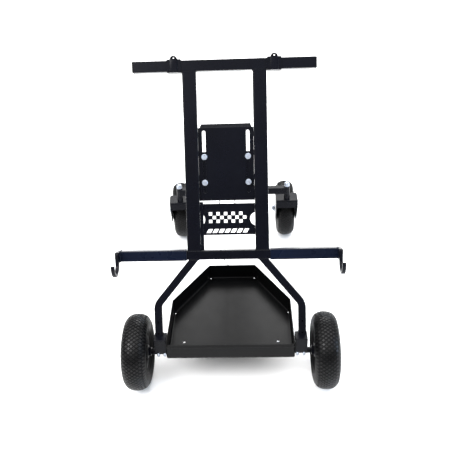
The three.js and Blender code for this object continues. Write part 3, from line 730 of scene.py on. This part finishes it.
def wheel(name, body, matrix, side):
    """All the pieces of one wheel; `side` is the way along x that points out of the stand."""
    tyre = [lathe(tyre_profile(), matrix, 120)] + sidewall_rings(matrix)
    add_piece(f"{name}_tyre_carcass", tyre, "tyre_rubber", body, [f"{name}_tyre"])
    add_piece(f"{name}_tyre_tread", [tread(matrix)], "tyre_rubber", body, finish="tread_rubber")
    inner = [lathe(HUB_PROFILE, matrix, 64), lathe(mirrored(RIM_HALF_PROFILE, -side), matrix, 96)]
    add_piece(f"{name}_rim_and_hub", inner, "rim_steel", body, [f"{name}_rim_inner"])
    outer = [lathe(mirrored(RIM_HALF_PROFILE, side), matrix, 96)]
    add_piece(f"{name}_rim_outer_half", outer, "rim_steel", body, [f"{name}_rim_outer"])
    bolts = []
    for i in range(RIM_BOLTS):
        turned = matrix @ Matrix.Rotation((i + 0.5) / RIM_BOLTS * 2 * math.pi, 4, "X")
        head = along_axis(turned, (RIM_FACE, RIM_BOLT_CIRCLE, 0), X)
        nut = along_axis(turned, (-RIM_FACE, RIM_BOLT_CIRCLE, 0), (-1, 0, 0))
        bolts += [hexagon(13, 5.5, head), hexagon(13, 6.5, nut, 3.6), thread(4, 11, nut)]
    add_piece(f"{name}_rim_bolts", bolts, "zinc", body)
    place = moved(matrix @ Matrix.Rotation(math.radians(VALVE_ANGLE), 4, "X"), 0, VALVE_CIRCLE)
    stem = lathe(mirrored(VALVE_PROFILE, side), place, 24, closed=False)
    add_piece(f"{name}_valve", [stem], "cap_plastic", body)


# ---- fasteners ----

WASHER_SHEET = 1.6


def nut_on_washer(place, disc, disc_hole, flats, height, hole=0.0, sheet=WASHER_SHEET):
    """A washer under a nut, or under a bolt head when it has no hole."""
    return [washer(disc, disc_hole, sheet, place), hexagon(flats, height, moved(place, sheet), hole)]


def bolt_with_nut(matrix, flats, radius, grip, head, nut, tail):
    """A hexagon bolt along the frame's x axis: its head before the origin, its nut past the grip."""
    back = along_axis(matrix, (0, 0, 0), (-1, 0, 0))
    far = moved(matrix, grip)
    disc = (flats * 0.6, radius - 0.4)
    meshes = nut_on_washer(back, *disc, flats, head)[::-1] + [pin(radius, -1, grip, matrix, 32)]
    meshes += nut_on_washer(far, *disc, flats, nut - WASHER_SHEET, radius - 0.4)
    return meshes + [thread(radius, nut + tail, far)]


# ---- front axle, blocks and drip tray ----

BLOCK_X = 237.5
BLOCK = {"width": 41, "depth": 42, "bottom": 141, "top": 197}
UBOLT = {"radius": 4, "bend": 14.6, "spacing": 11, "top": 163}
UBOLT_COLLAR = [(-0.2, 4.3), (-0.2, 7), (1.2, 6.6), (1.2, 4.3)]
HUB_HALF = 37
AXLE_HALF = 367
AXLE_R = 10
AXLE_ROOT_R = 9.2
COLLAR = {"radius": 15, "width": 8, "chamfer": 0.6}
AXLE_NUT = (18, 10.3, 27, 9, 10.1, 2)


def axle():
    matrix = moved(BASE, 0, 0, WHEEL_R)
    end = HALF_TRACK - HUB_HALF - GAP
    radius, width, chamfer = COLLAR.values()
    start = end - width
    half = [
        (start, AXLE_R), (start, radius - chamfer), (start + chamfer, radius), (end - chamfer, radius),
        (end, radius - chamfer), (end, AXLE_R), (HALF_TRACK + HUB_HALF, AXLE_R),
    ]
    tip = HALF_TRACK + HUB_HALF
    while tip < AXLE_HALF - 2:
        half += [(tip, AXLE_ROOT_R), (tip + 1, AXLE_R)]
        tip += 2
    half += [(AXLE_HALF - 1.2, AXLE_ROOT_R), (AXLE_HALF, AXLE_ROOT_R - 1), (AXLE_HALF, 0)]
    turned = lathe(mirrored(half, -1)[::-1] + half, matrix, 40, closed=False)
    frame_piece("front_axle_turned", [turned], "axle_rod")
    for name, side in SIDES:
        place = along_axis(matrix, (side * (HALF_TRACK + HUB_HALF + GAP), 0, 0), (side, 0, 0))
        nut = nut_on_washer(place, *AXLE_NUT)
        add_piece(f"axle_end_nut_{name}", nut, "zinc", "mast_frame", [f"axle_nut_{name}"])


def axle_blocks():
    width, depth, bottom, top = BLOCK.values()
    radius, bend, spacing, end = UBOLT.values()
    for name, side in SIDES:
        x = side * BLOCK_X
        start = moved(BASE, x - width / 2, 0, (bottom + top) / 2)
        meshes = [bar(width, depth, top - bottom, start, 2.5, 1.2)]
        for offset in (-spacing, spacing):
            for y in (-bend, bend):
                ring = moved(BASE, x + offset, y, bottom) @ UPRIGHT.inverted()
                meshes.append(lathe(UBOLT_COLLAR, ring, 24))
        frame_piece(f"axle_block_edged_{name}", meshes, f"axle_block_{name}")
        for place, offset in (("inner", -spacing), ("outer", spacing)):
            at = side * (BLOCK_X + offset)
            path = [(-bend, end)] + arc(0, WHEEL_R, bend, 180, 360, 16) + [(bend, end)]
            mesh = round_bar([(at, y, z) for y, z in path], radius, BASE, 14)
            node = f"axle_ubolt_{name}_{place}"
            add_piece(f"u_bolt_{name}_{place}", [mesh], "zinc", "mast_frame", [node])


TRAY = {"floor": 141, "top": 203, "sheet": 2.5, "bend": 8, "corner": 5}
TRAY_OUTLINE = [(-214, -50), (214, -50), (214, 184), (90, 400), (-90, 400), (-214, 184)]
TRAY_HOLES = {"x": 162, "y": 30, "radius": 4.5}
TRAY_LIP = {"width": 10, "end": 4}
TRAY_LIP_DEGREES = 10
TRAY_EDGE = 0.6
RELIEF_RADIUS = 2.6
CUT_REACH = 9


def tray_ring(inset):
    """The tray's outline moved inwards, its corners turned on arcs."""
    radius = max(TRAY["corner"] - inset, 0.4)
    count = len(TRAY_OUTLINE)
    points = [Vector(p) for p in TRAY_OUTLINE]
    ring = []
    for i, point in enumerate(points):
        before = (point - points[i - 1]).normalized()
        after = (points[(i + 1) % count] - point).normalized()
        turn = before.angle(after)
        inwards = Vector((-before.y - after.y, before.x + after.x)) / (1 + before.dot(after))
        corner = point + inwards * inset
        centre = corner + inwards * radius
        start = math.degrees(math.atan2(-before.x, before.y))
        ring += arc(centre.x, centre.y, radius, start, start + math.degrees(turn), 5)
    return ring


def quarter_bend(inset, height, radius):
    """A sheet's bend from upright to level."""
    steps = 6
    angles = [math.pi / 2 * i / steps for i in range(steps + 1)]
    return [(inset + radius * (1 - math.cos(a)), height + radius * (1 - math.sin(a))) for a in angles]


def drip_tray():
    """The folded tray: a relief hole at each corner, two bolt holes and a turned lip at the front."""
    floor, top, sheet, bend, _ = TRAY.values()
    edge = TRAY_EDGE
    outside = [(sheet / 2, top), (edge * 0.3, top - edge * 0.3), (0, top - edge)]
    outside += quarter_bend(0, floor, bend)
    inside = [(sheet - edge * 0.3, top - edge * 0.3), (sheet, top - edge)]
    inside += quarter_bend(sheet, floor + sheet, bend - sheet)
    bm = bmesh.new()

    def ring_at(inset, z):
        return [bm.verts.new((x, y, z)) for x, y in tray_ring(inset)]

    outer_rings = [ring_at(*place) for place in outside]
    inner_rings = [outer_rings[0]] + [ring_at(*place) for place in inside]
    for rings in (outer_rings, inner_rings):
        bridge_all(bm, rings)
        bm.faces.new(rings[-1])
    mesh = finished(bm, BASE, SHARP_CARVED)
    corners = tray_ring(bend - 1)
    per_corner = len(corners) // len(TRAY_OUTLINE)
    holes = [(*corner, RELIEF_RADIUS, 20) for corner in corners[per_corner // 2::per_corner]]
    holes += [(side * TRAY_HOLES["x"], TRAY_HOLES["y"], TRAY_HOLES["radius"], 28) for _, side in SIDES]
    cutters = []
    for x, y, radius, segments in holes:
        cutters.append(pin(radius, -CUT_REACH, CUT_REACH, moved(BASE, x, y, floor) @ UPRIGHT, segments))
    half, front = TRAY_OUTLINE[1][0] - TRAY_LIP["end"], TRAY_OUTLINE[1][1]
    middle = front + (1 - TRAY_LIP["width"]) / 2
    tilt = Matrix.Rotation(math.radians(TRAY_LIP_DEGREES), 4, "X")
    place = moved(BASE, -half, middle, top - sheet / 2 - edge) @ tilt
    lip = bar(2 * half, TRAY_LIP["width"] + 1, sheet, place, 1, 0.8)
    add_piece("drip_tray_folded", [carved(mesh, cutters), lip], "tray_paint", "mast_frame", ["drip_tray"])


WIRE = {"x": -16, "back": 8, "under": 17, "radius": 1.5, "ferrule": 2.4}


def stay_wire():
    """The tray's stay wire: a straight rod down from the cross tube, with a ferrule at the tray."""
    x, back, drop, radius, ferrule_radius = WIRE.values()
    under = CROSS_H - drop
    y = under * math.sin(LEAN) + back * math.cos(LEAN)
    z = MAST_FOOT_Z + under * math.cos(LEAN) - back * math.sin(LEAN)
    top = Vector((x, y, z))
    end = Vector((x, TRAY_OUTLINE[3][1] - TRAY["sheet"] / 2, TRAY["top"] + 1.5))
    steps = 12
    path = [top.lerp(end, i / steps) for i in range(steps + 1)]
    ferrule = [path[0].lerp(path[-1], 0.96), path[-1]]
    meshes = [round_bar(path, radius, BASE, 10), round_bar(ferrule, ferrule_radius, BASE, 12)]
    add_piece("tray_stay_wire", meshes, "wire", "mast_frame", ["tray_wire"])


# ---- mast ----

LEG = {"size": 25, "foot": 242, "bend_height": 137, "top": 115, "bend": 45, "spare": 25}
LEG_TOP_H = CROSS_H - 15
LEG_HOLES = {"heights": (38, 77), "radius": 3}
PLATE_WELD = 1.8
PLATE_FRONT = 5
PLATE_SHEET = 3
PLATE_BOTTOM, PLATE_TOP = 486, 722
SLOTS = ((621, 713), (510, 614))
SLOT_R = 5.3
PLATE_MATRIX = moved(MAST, 0, -PLATE_FRONT + PLATE_SHEET / 2) @ FACING_FRONT


def straight(a, b, size, wall=2.0, radius=3.0):
    return tube([a, b], Y, size, MAST, wall, radius)


def leg_path(side):
    """Up from the foot, round the bend and on to the cross tube, with a little to trim at both ends."""
    _, foot_x, bend_height, top_x, radius, spare = LEG.values()
    foot = Vector((side * foot_x, 0, 0))
    knee = Vector((side * foot_x, 0, bend_height))
    top = Vector((side * top_x, 0, LEG_TOP_H))
    on = (top - knee).normalized()
    reach = radius / math.tan((math.pi - on.angle(Z)) / 2)
    start, end = knee - Vector((0, 0, reach)), knee + on * reach
    steps = 14
    bend = []
    for i in range(steps + 1):
        t = i / steps
        bend.append(start * (1 - t) ** 2 + knee * 2 * t * (1 - t) + end * t**2)
    return [foot - Vector((0, 0, spare))] + bend + [top + on * spare]


def legs():
    size = LEG["size"]
    block_top = BLOCK["top"] + GAP - MAST_FOOT_Z
    level = Vector((0, math.cos(LEAN), math.sin(LEAN)))
    down = Vector((0, math.sin(LEAN), -math.cos(LEAN)))
    trims = ((-down * block_top, down), (Vector((0, 0, LEG_TOP_H - GAP)), Vector(Z)))
    for name, side in SIDES:
        foot = side * LEG["foot"]
        path = leg_path(side)
        mesh = tube(path, Y, (size, size), MAST, 2.0, 3.5, trims)
        holes = []
        for height in LEG_HOLES["heights"]:
            place = along_axis(MAST, (foot, -20, height), Y)
            holes.append(pin(LEG_HOLES["radius"], 0, 20, place, 20))
        wide = size / abs((path[-1] - path[-2]).normalized().z)
        top = (side * LEG["top"], 0, LEG_TOP_H - 0.5)
        meshes = [
            carved(mesh, holes),
            weld_round(top, X, Y, wide, size, MAST),
            weld_round((foot, 0, block_top + 1), X, level, size, size / math.cos(LEAN), MAST),
        ]
        frame_piece(f"leg_bent_{name}", meshes, f"leg_{name}")


def level_tube(half, height, size):
    return straight((-half, 0, height), (half, 0, height), (size, size))


RAIL = {"width": 45, "depth": 30, "radius": 4.0, "weld_depth": 29}
CAP = {"sheet": 3, "plug": 14, "play": 5}


def mast_tubes():
    frame_piece("cross_tube_rolled", [level_tube(300, CROSS_H, 30)], "cross_tube")
    frame_piece("top_bar_rolled", [level_tube(TOP_BAR_HALF, TOP_BAR_H, TOP_BAR)], "top_bar")
    low, high = CROSS_H + 15 + GAP, TOP_BAR_H - TOP_BAR / 2 - GAP
    width, depth, radius, weld_depth = RAIL.values()
    plug = TOP_BAR - CAP["play"]
    for name, side in SIDES:
        ends = [(side * RAIL_X, 0, low), (side * RAIL_X, 0, high)]
        meshes = [straight(*ends, (width, depth), radius=radius)]
        for end in ends:
            meshes.append(weld_round(end, X, Y, width, weld_depth, MAST, PLATE_WELD))
        frame_piece(f"rail_rolled_{name}", meshes, f"rail_{name}")
        cap = along_axis(MAST, (side * (TOP_BAR_HALF + GAP), 0, TOP_BAR_H), (side, 0, 0))
        meshes = [bar(CAP["sheet"], TOP_BAR, TOP_BAR, cap, 3, 1.1)]
        meshes.append(bar(CAP["plug"], plug, plug, moved(cap, 0.2 - CAP["plug"]), 1, 0.5))
        add_piece(f"top_bar_cap_{name}", meshes, "cap_plastic", "mast_frame", [f"top_cap_{name}"])


def slot_loop(x, low, high):
    return arc(x, high - SLOT_R, SLOT_R, 0, 180) + arc(x, low + SLOT_R, SLOT_R, 180, 360)


def edge_welds(half, heights, reach):
    """Short upright beads down both edges of a plate between the rails."""
    beads = []
    for _, side in SIDES:
        for height in heights:
            line = [(side * half, -PLATE_FRONT, z) for z in (height - reach, height + reach)]
            beads.append(weld(line, MAST, PLATE_WELD))
    return beads


PLATE_WELD_HEIGHTS = (500, 560, 640, 700)


def slotted_plate():
    """The plate with two slots a side, its top and bottom edges folded."""
    half = RAIL_INNER_X - GAP
    radius, lip, flange = 3, 9.5, 17
    low = PLATE_BOTTOM + radius
    outline = [
        (-half, low - lip), (half, low - lip), (half, PLATE_TOP), (half - 5, PLATE_TOP),
        (half - 10, PLATE_TOP + flange), (-half + 10, PLATE_TOP + flange), (-half + 5, PLATE_TOP),
        (-half, PLATE_TOP),
    ]
    loops = [outline] + [slot_loop(side * SLOT_X, *slot) for _, side in SIDES for slot in SLOTS]
    folds = ((PLATE_TOP - 1, Y, radius, -45), (-low, (0, -1, 0), radius, -90))
    meshes = [plate(loops, PLATE_SHEET, PLATE_MATRIX, 0.5, folds)]
    frame_piece("slotted_plate_folded", meshes + edge_welds(half, PLATE_WELD_HEIGHTS, 9), "slotted_plate")


PANEL = {"bottom": 371, "top": 475}
NOTCH = {"radius": 22, "depth": 16, "height": 423}
TABS = {"x": 25, "width": 3}
CHEQUER = {"columns": 10, "rows": 3, "size": 11, "gap": 1.5, "centre": 429}
DASHES = {"count": 7, "pitch": 20, "centre": 384.5, "width": 14, "height": 13, "slant": 4}


def slanted(x, z, width, height, slant=0):
    """A small four-sided cut-out, its top edge shifted by the slant to one side."""
    corners = ((-1, -1), (1, -1), (1, 1), (-1, 1))
    return [(x + i * width / 2 + j * slant, z + j * height / 2) for i, j in corners]


def cutout_panel():
    half = RAIL_INNER_X - GAP
    bottom, top = PANEL.values()
    radius, depth, height = NOTCH.values()
    centre = half + radius - depth
    open_angle = math.degrees(math.acos((centre - half) / radius))
    right = [(half, bottom)]
    right += arc(centre, height, radius, 180 + open_angle, 180 - open_angle, 24)
    right.append((half, top))
    for edge in (TABS["x"] + TABS["width"] / 2, TABS["x"] - TABS["width"] / 2):
        ends = [(edge, top), (edge, PLATE_BOTTOM - GAP)]
        right += ends if edge > TABS["x"] else ends[::-1]
    loops = [right + mirrored(right, -1)[::-1]]
    columns, rows, size, gap, middle = CHEQUER.values()
    pitch = size + gap
    for row in range(rows):
        z = middle + (row - (rows - 1) / 2) * pitch
        for column in range(row % 2, columns, 2):
            loops.append(slanted((column - (columns - 1) / 2) * pitch, z, size, size))
    count, pitch, *shape = DASHES.values()
    for i in range(count):
        loops.append(slanted((i - (count - 1) / 2) * pitch, *shape))
    meshes = [plate(loops, PLATE_SHEET, PLATE_MATRIX, 0.4)] + edge_welds(half, (bottom + 12, top - 12), 8)
    frame_piece("cutout_panel_edged", meshes, "cutout_panel")


def rail_strip():
    width, sheet = 11, 4
    low, high = CROSS_H + 15 + GAP, PLATE_BOTTOM - 4
    x = -RAIL_INNER_X + GAP + width / 2
    start = moved(MAST, x, -PLATE_FRONT - GAP - sheet / 2, low) @ UPRIGHT
    mesh = bar(high - low, sheet, width, start, 1, 0.6)
    line = [(x - width / 2, -PLATE_FRONT - GAP - sheet, z) for z in (low + 2, low + 20)]
    frame_piece("rail_strip_edged", [mesh, weld(line, MAST, 1.5)], "rail_strip")


ARM = {"size": 35, "wall": 2.2}
HOOK = {"thickness": 12, "forward": 66, "height": 284, "radius": 28, "outer": 38, "front": 42, "corner": 8}
HOOK_TIP_R = 5
LOCK_SCREW_X = 165
LOCK_SCREW_HOLE = 4.2


def hook_outline():
    half = ARM["size"] / 2
    top, low = CROSS_H + half, CROSS_H - half
    _, forward, height, radius, outer, front, corner = HOOK.values()
    back = [(half, low), (half, top)]
    nose = arc(-front + corner, top - corner, corner, 90, 180, 6)
    seat = arc(-forward, height, radius, 0, -180, 24)
    tip_x = -forward - (radius + outer) / 2
    tip = arc(tip_x, height, HOOK_TIP_R, 0, 180, 8)
    outside = arc(-forward, height, outer, -180, 0, 24)
    return back + nose + seat[:-1] + tip + outside[1:]


def arms():
    size = ARM["size"]
    for name, side in SIDES:
        body = f"arm_{name}"
        end = (side * ARM_OUTER_X, 0, CROSS_H)
        boss = along_axis(MAST, (side * LOCK_SCREW_X, size / 2, CROSS_H), Y)
        meshes = [
            straight((side * ARM_INNER_X, 0, CROSS_H), end, (size, size), wall=ARM["wall"]),
            hexagon(16, 7, boss, LOCK_SCREW_HOLE),
            weld_round(end, Y, Z, size, size, MAST, 2.2),
        ]
        add_piece(f"arm_rolled_{name}", meshes, "arm_paint", body, [body])
        place = moved(MAST, side * (ARM_OUTER_X + GAP + HOOK["thickness"] / 2)) @ FACING_SIDE
        hook = plate([hook_outline()], HOOK["thickness"], place, 1.4)
        frame_piece(f"hook_plate_{name}", [hook], f"axle_hook_{name}", body)
        screw = moved(boss, 8)
        disc = washer(7.5, LOCK_SCREW_HOLE, WASHER_SHEET, screw)
        meshes = [thread(4, 14, boss), hexagon(13, 8, moved(screw, 4)), disc]
        add_piece(f"lock_screw_{name}", meshes, "zinc", body, [f"arm_lock_screw_{name}"])


SLEEVE = {"outer": 42, "length": 45, "x": 160, "wall": 3}
LUG = {"width": 23, "sheet": 5, "top": 950, "boss": 20, "hole": 3, "hole_height": 943.5}


def top_sleeves():
    half = SLEEVE["outer"] / 2
    width, sheet, top, boss, hole_radius, hole_height = LUG.values()
    r = width / 2
    dome = arc(0, top - r, r, 0, 180, 20)
    hole = arc(0, hole_height, hole_radius, 0, 340, 17)
    for name, side in SIDES:
        x = side * SLEEVE["x"]
        ends = [(x + end * SLEEVE["length"] / 2, 0, TOP_BAR_H) for end in (-1, 1)]
        meshes = [straight(*ends, (2 * half, 2 * half), wall=SLEEVE["wall"])]
        for foot, depth in ((TOP_BAR_H - half, sheet + 1), (TOP_BAR_H + half - 2, boss)):
            outline = [(-r, foot), (r, foot)] + dome
            place = moved(MAST, x, -half - sheet + depth / 2) @ FACING_FRONT
            meshes.append(plate([outline, hole], depth, place, 1.2))
        front = -half - 0.5
        for e in (-r, r):
            line = [(x + e, front, z) for z in (TOP_BAR_H - half, TOP_BAR_H + half)]
            meshes.append(weld(line, MAST, 2))
        frame_piece(f"top_sleeve_welded_{name}", meshes, f"top_sleeve_{name}", f"top_sleeve_{name}")


# ---- tail ----

BRACKET = {"half": 88, "bottom": 512, "top": 645, "sheet": 5, "cut": 12}
BRACKET_FRONT = -PLATE_FRONT + PLATE_SHEET + GAP
BRACKET_BACK = BRACKET_FRONT + BRACKET["sheet"]
BOLT_HEIGHTS = {"lower": 544.5, "upper": 628.5}
ADJUSTER = (16, 4.9, 5.9, 9, 4)  # flats, radius, head, nut, tail
TAIL_TUBE_X = 40
TAIL_TUBE = 30
HOUSING = {"radius": 13, "bore": 8.3, "bottom": 256.5, "top": 322, "chamfer": 0.8}


def hole_loop(x, y, radius):
    return arc(x, y, radius, 0, 345, 23)


def tail_bracket():
    half, bottom, top, sheet, cut = BRACKET.values()
    outline = [(-half, bottom), (half, bottom), (half, top - cut)]
    outline += [(half - cut, top), (cut - half, top), (-half, top - cut)]
    heights = BOLT_HEIGHTS.values()
    holes = [hole_loop(side * SLOT_X, height, 5.2) for _, side in SIDES for height in heights]
    matrix = moved(MAST, 0, (BRACKET_FRONT + BRACKET_BACK) / 2) @ FACING_FRONT
    meshes = [plate([outline] + holes, sheet, matrix)]
    frame_piece("tail_bracket_edged", meshes, "tail_bracket", "tail")
    for name, side in SIDES:
        for place, height in BOLT_HEIGHTS.items():
            frame_of_bolt = along_axis(MAST, (side * SLOT_X, -PLATE_FRONT - GAP, height), Y)
            grip = BRACKET_BACK + PLATE_FRONT + 2 * GAP
            bolt = bolt_with_nut(frame_of_bolt, *ADJUSTER[:2], grip, *ADJUSTER[2:])
            add_piece(f"adjuster_{name}_{place}", bolt, "zinc", "tail", [f"adjuster_bolt_{name}_{place}"])


def tail_tubes():
    height = (BRACKET["bottom"] + BRACKET["top"]) / 2 + 8
    start = Vector((0, height * math.sin(LEAN), MAST_FOOT_Z + height * math.cos(LEAN)))
    end = Vector((0, BEAM_Y, BEAM_Z))
    along = (end - start).normalized()
    back = BRACKET_BACK + GAP
    mast_y = Vector((0, math.cos(LEAN), -math.sin(LEAN)))
    on_bracket = Vector((0, 0, MAST_FOOT_Z)) + mast_y * back
    on_beam = Vector((0, BEAM_Y - 15 - GAP, 0))
    trims = ((on_bracket, -mast_y), (on_beam, Vector(Y)))
    for name, side in SIDES:
        shift = Vector((side * TAIL_TUBE_X, 0, 0))
        path = [start + shift - along * 60, end + shift + along * 20]
        mesh = tube(path, X, (TAIL_TUBE, TAIL_TUBE), BASE, trims=trims)
        ends = []
        for point, normal in trims:
            lean = Vector((0, -normal.z, normal.y)).normalized()
            centre = start + shift + along * ((point - start - shift).dot(normal) / along.dot(normal))
            tall = TAIL_TUBE / abs(along.dot(normal))
            ends.append(weld_round(centre, X, lean, TAIL_TUBE, tall, BASE))
        frame_piece(f"tail_tube_welded_{name}", [mesh] + ends, f"tail_tube_{name}", "tail")


def rear_beam():
    reach = KINGPIN_X - 0.5
    radius, bore, low, high, cut = HOUSING.values()
    meshes = [tube([(-reach, BEAM_Y, BEAM_Z), (reach, BEAM_Y, BEAM_Z)], Y, (30, 30), BASE)]
    for name, side in SIDES:
        meshes.append(weld_round((side * reach, BEAM_Y, BEAM_Z), Y, Z, 29, 30, BASE, 2.0))
        profile = [
            (low, bore + cut), (low, radius - cut), (low + cut, radius), (high - cut, radius),
            (high, radius - cut), (high, bore + cut), (high - cut, bore), (low + cut, bore),
        ]
        housing = lathe(profile, moved(BASE, side * KINGPIN_X, BEAM_Y) @ UPRIGHT, 48)
        frame_piece(f"swivel_housing_bored_{name}", [housing], f"swivel_housing_{name}", "tail")
    frame_piece("rear_beam_rolled", meshes, "rear_beam", "tail")


# ---- casters ----

FORK = {"half": 49, "sheet": 4, "top": 256, "back": 56, "front": -20, "flange": 219}
FORK_BOSS_R = 26
FORK_CORNER = 10


def fork(name, side):
    matrix = caster_matrix(side)
    half, sheet, top, back, front, flange = FORK.values()
    cheek = [(front + 2, top - 2), (front + 2, flange), (37, 124),
             (TRAIL - 8, WHEEL_R - FORK_BOSS_R + 1)]
    cheek += arc(TRAIL, WHEEL_R, FORK_BOSS_R, -90, 45, 14)
    cheek.append((back - 4, top - 2))
    hole = hole_loop(TRAIL, WHEEL_R, 10.3)
    meshes = []
    for end in (-1, 1):
        place = moved(matrix, end * (half - sheet / 2)) @ FACING_SIDE
        meshes.append(plate([cheek, hole], sheet, place, 0.7))
    bend = 4
    corner = FORK_CORNER
    fold_at = front + sheet / 2 + bend
    flat_front = fold_at - bend * math.pi / 2 - (top - sheet / 2 - bend - flange)
    cap = [(-half, flat_front), (half, flat_front)]
    cap += arc(half - corner, back - corner, corner, 0, 90, 6)
    cap += arc(corner - half, back - corner, corner, 90, 180, 6)
    place = moved(matrix, 0, 0, top - sheet / 2)
    front_fold = (-fold_at, (0, -1, 0), bend, -90)
    meshes.append(plate([cap, hole_loop(0, 0, 8.2)], sheet, place, 0.9, (front_fold,)))
    for end in (-1, 1):
        x = end * (half - sheet)
        line = [(x, back - corner, top - sheet), (x, front + bend + 4, top - sheet)]
        meshes.append(weld(line, matrix, 2.2))
    frame_piece(f"fork_folded_{name}", meshes, f"fork_{name}", f"fork_{name}")


KINGPIN_R = 8
KINGPIN_NUT = (12, 8.2, 20, 9.5, KINGPIN_R, 2)
KINGPIN_NUT_COLLAR = [(11.4, 8.4), (11.4, 10.6), (13.6, 10.2), (15, 9.2), (15, 8.4)]


def kingpin(name, side):
    place = moved(caster_matrix(side), 0, 0, FORK["top"] + GAP) @ UPRIGHT
    grip = HOUSING["top"] - FORK["top"]
    nut = moved(place, grip)
    meshes = [pin(KINGPIN_R, 0, grip, place, 36)] + nut_on_washer(nut, *KINGPIN_NUT)
    meshes += [lathe(KINGPIN_NUT_COLLAR, nut, 36), thread(KINGPIN_R - 0.2, 18, nut)]
    add_piece(f"kingpin_bolt_{name}", meshes, "zinc", f"fork_{name}", [f"kingpin_{name}"])


CASTER_NUT = (15, 9.6, 26, 7.4, 9.6)


def caster_axle(name, side):
    centre = moved(caster_matrix(side), 0, TRAIL, WHEEL_R)
    outer = FORK["half"] + GAP
    length = FORK["half"] - FORK["sheet"] - HUB_HALF - 2 * GAP
    spacer = [(0, 10), (0, 13.4), (0.6, 14), (length - 0.6, 14), (length, 13.4), (length, 10)]
    meshes = [pin(AXLE_R, -outer, outer, centre, 36)]
    for end in (-1, 1):
        out = along_axis(centre, (end * outer, 0, 0), (end, 0, 0))
        inner = along_axis(centre, (end * (HUB_HALF + GAP), 0, 0), (end, 0, 0))
        meshes += nut_on_washer(out, *CASTER_NUT) + [thread(9.9, 12, out), lathe(spacer, inner, 36)]
    add_piece(f"caster_axle_bolt_{name}", meshes, "zinc", f"fork_{name}", [f"caster_axle_{name}"])


# ---- assembly ----

for build in (
    look_camera, studio, axle, axle_blocks, drip_tray, stay_wire, legs, mast_tubes, slotted_plate,
    cutout_panel, rail_strip, arms, top_sleeves, tail_bracket, tail_tubes, rear_beam,
):
    build()
for name, side in SIDES:
    wheel(f"front_{name}", f"front_wheel_{name}", moved(BASE, side * HALF_TRACK, 0, WHEEL_R), side)
    fork(name, side)
    kingpin(name, side)
    caster_axle(name, side)
    wheel(f"caster_{name}", f"caster_wheel_{name}", moved(caster_matrix(side), 0, TRAIL, WHEEL_R), side)

slots = {part["node"]: part["material_slot"] for part in frame["record"]["subparts"]}
for node, item in frame["nodes"].items():
    item.data.materials.clear()
    item.data.materials.append(MATERIALS[slots[node]])
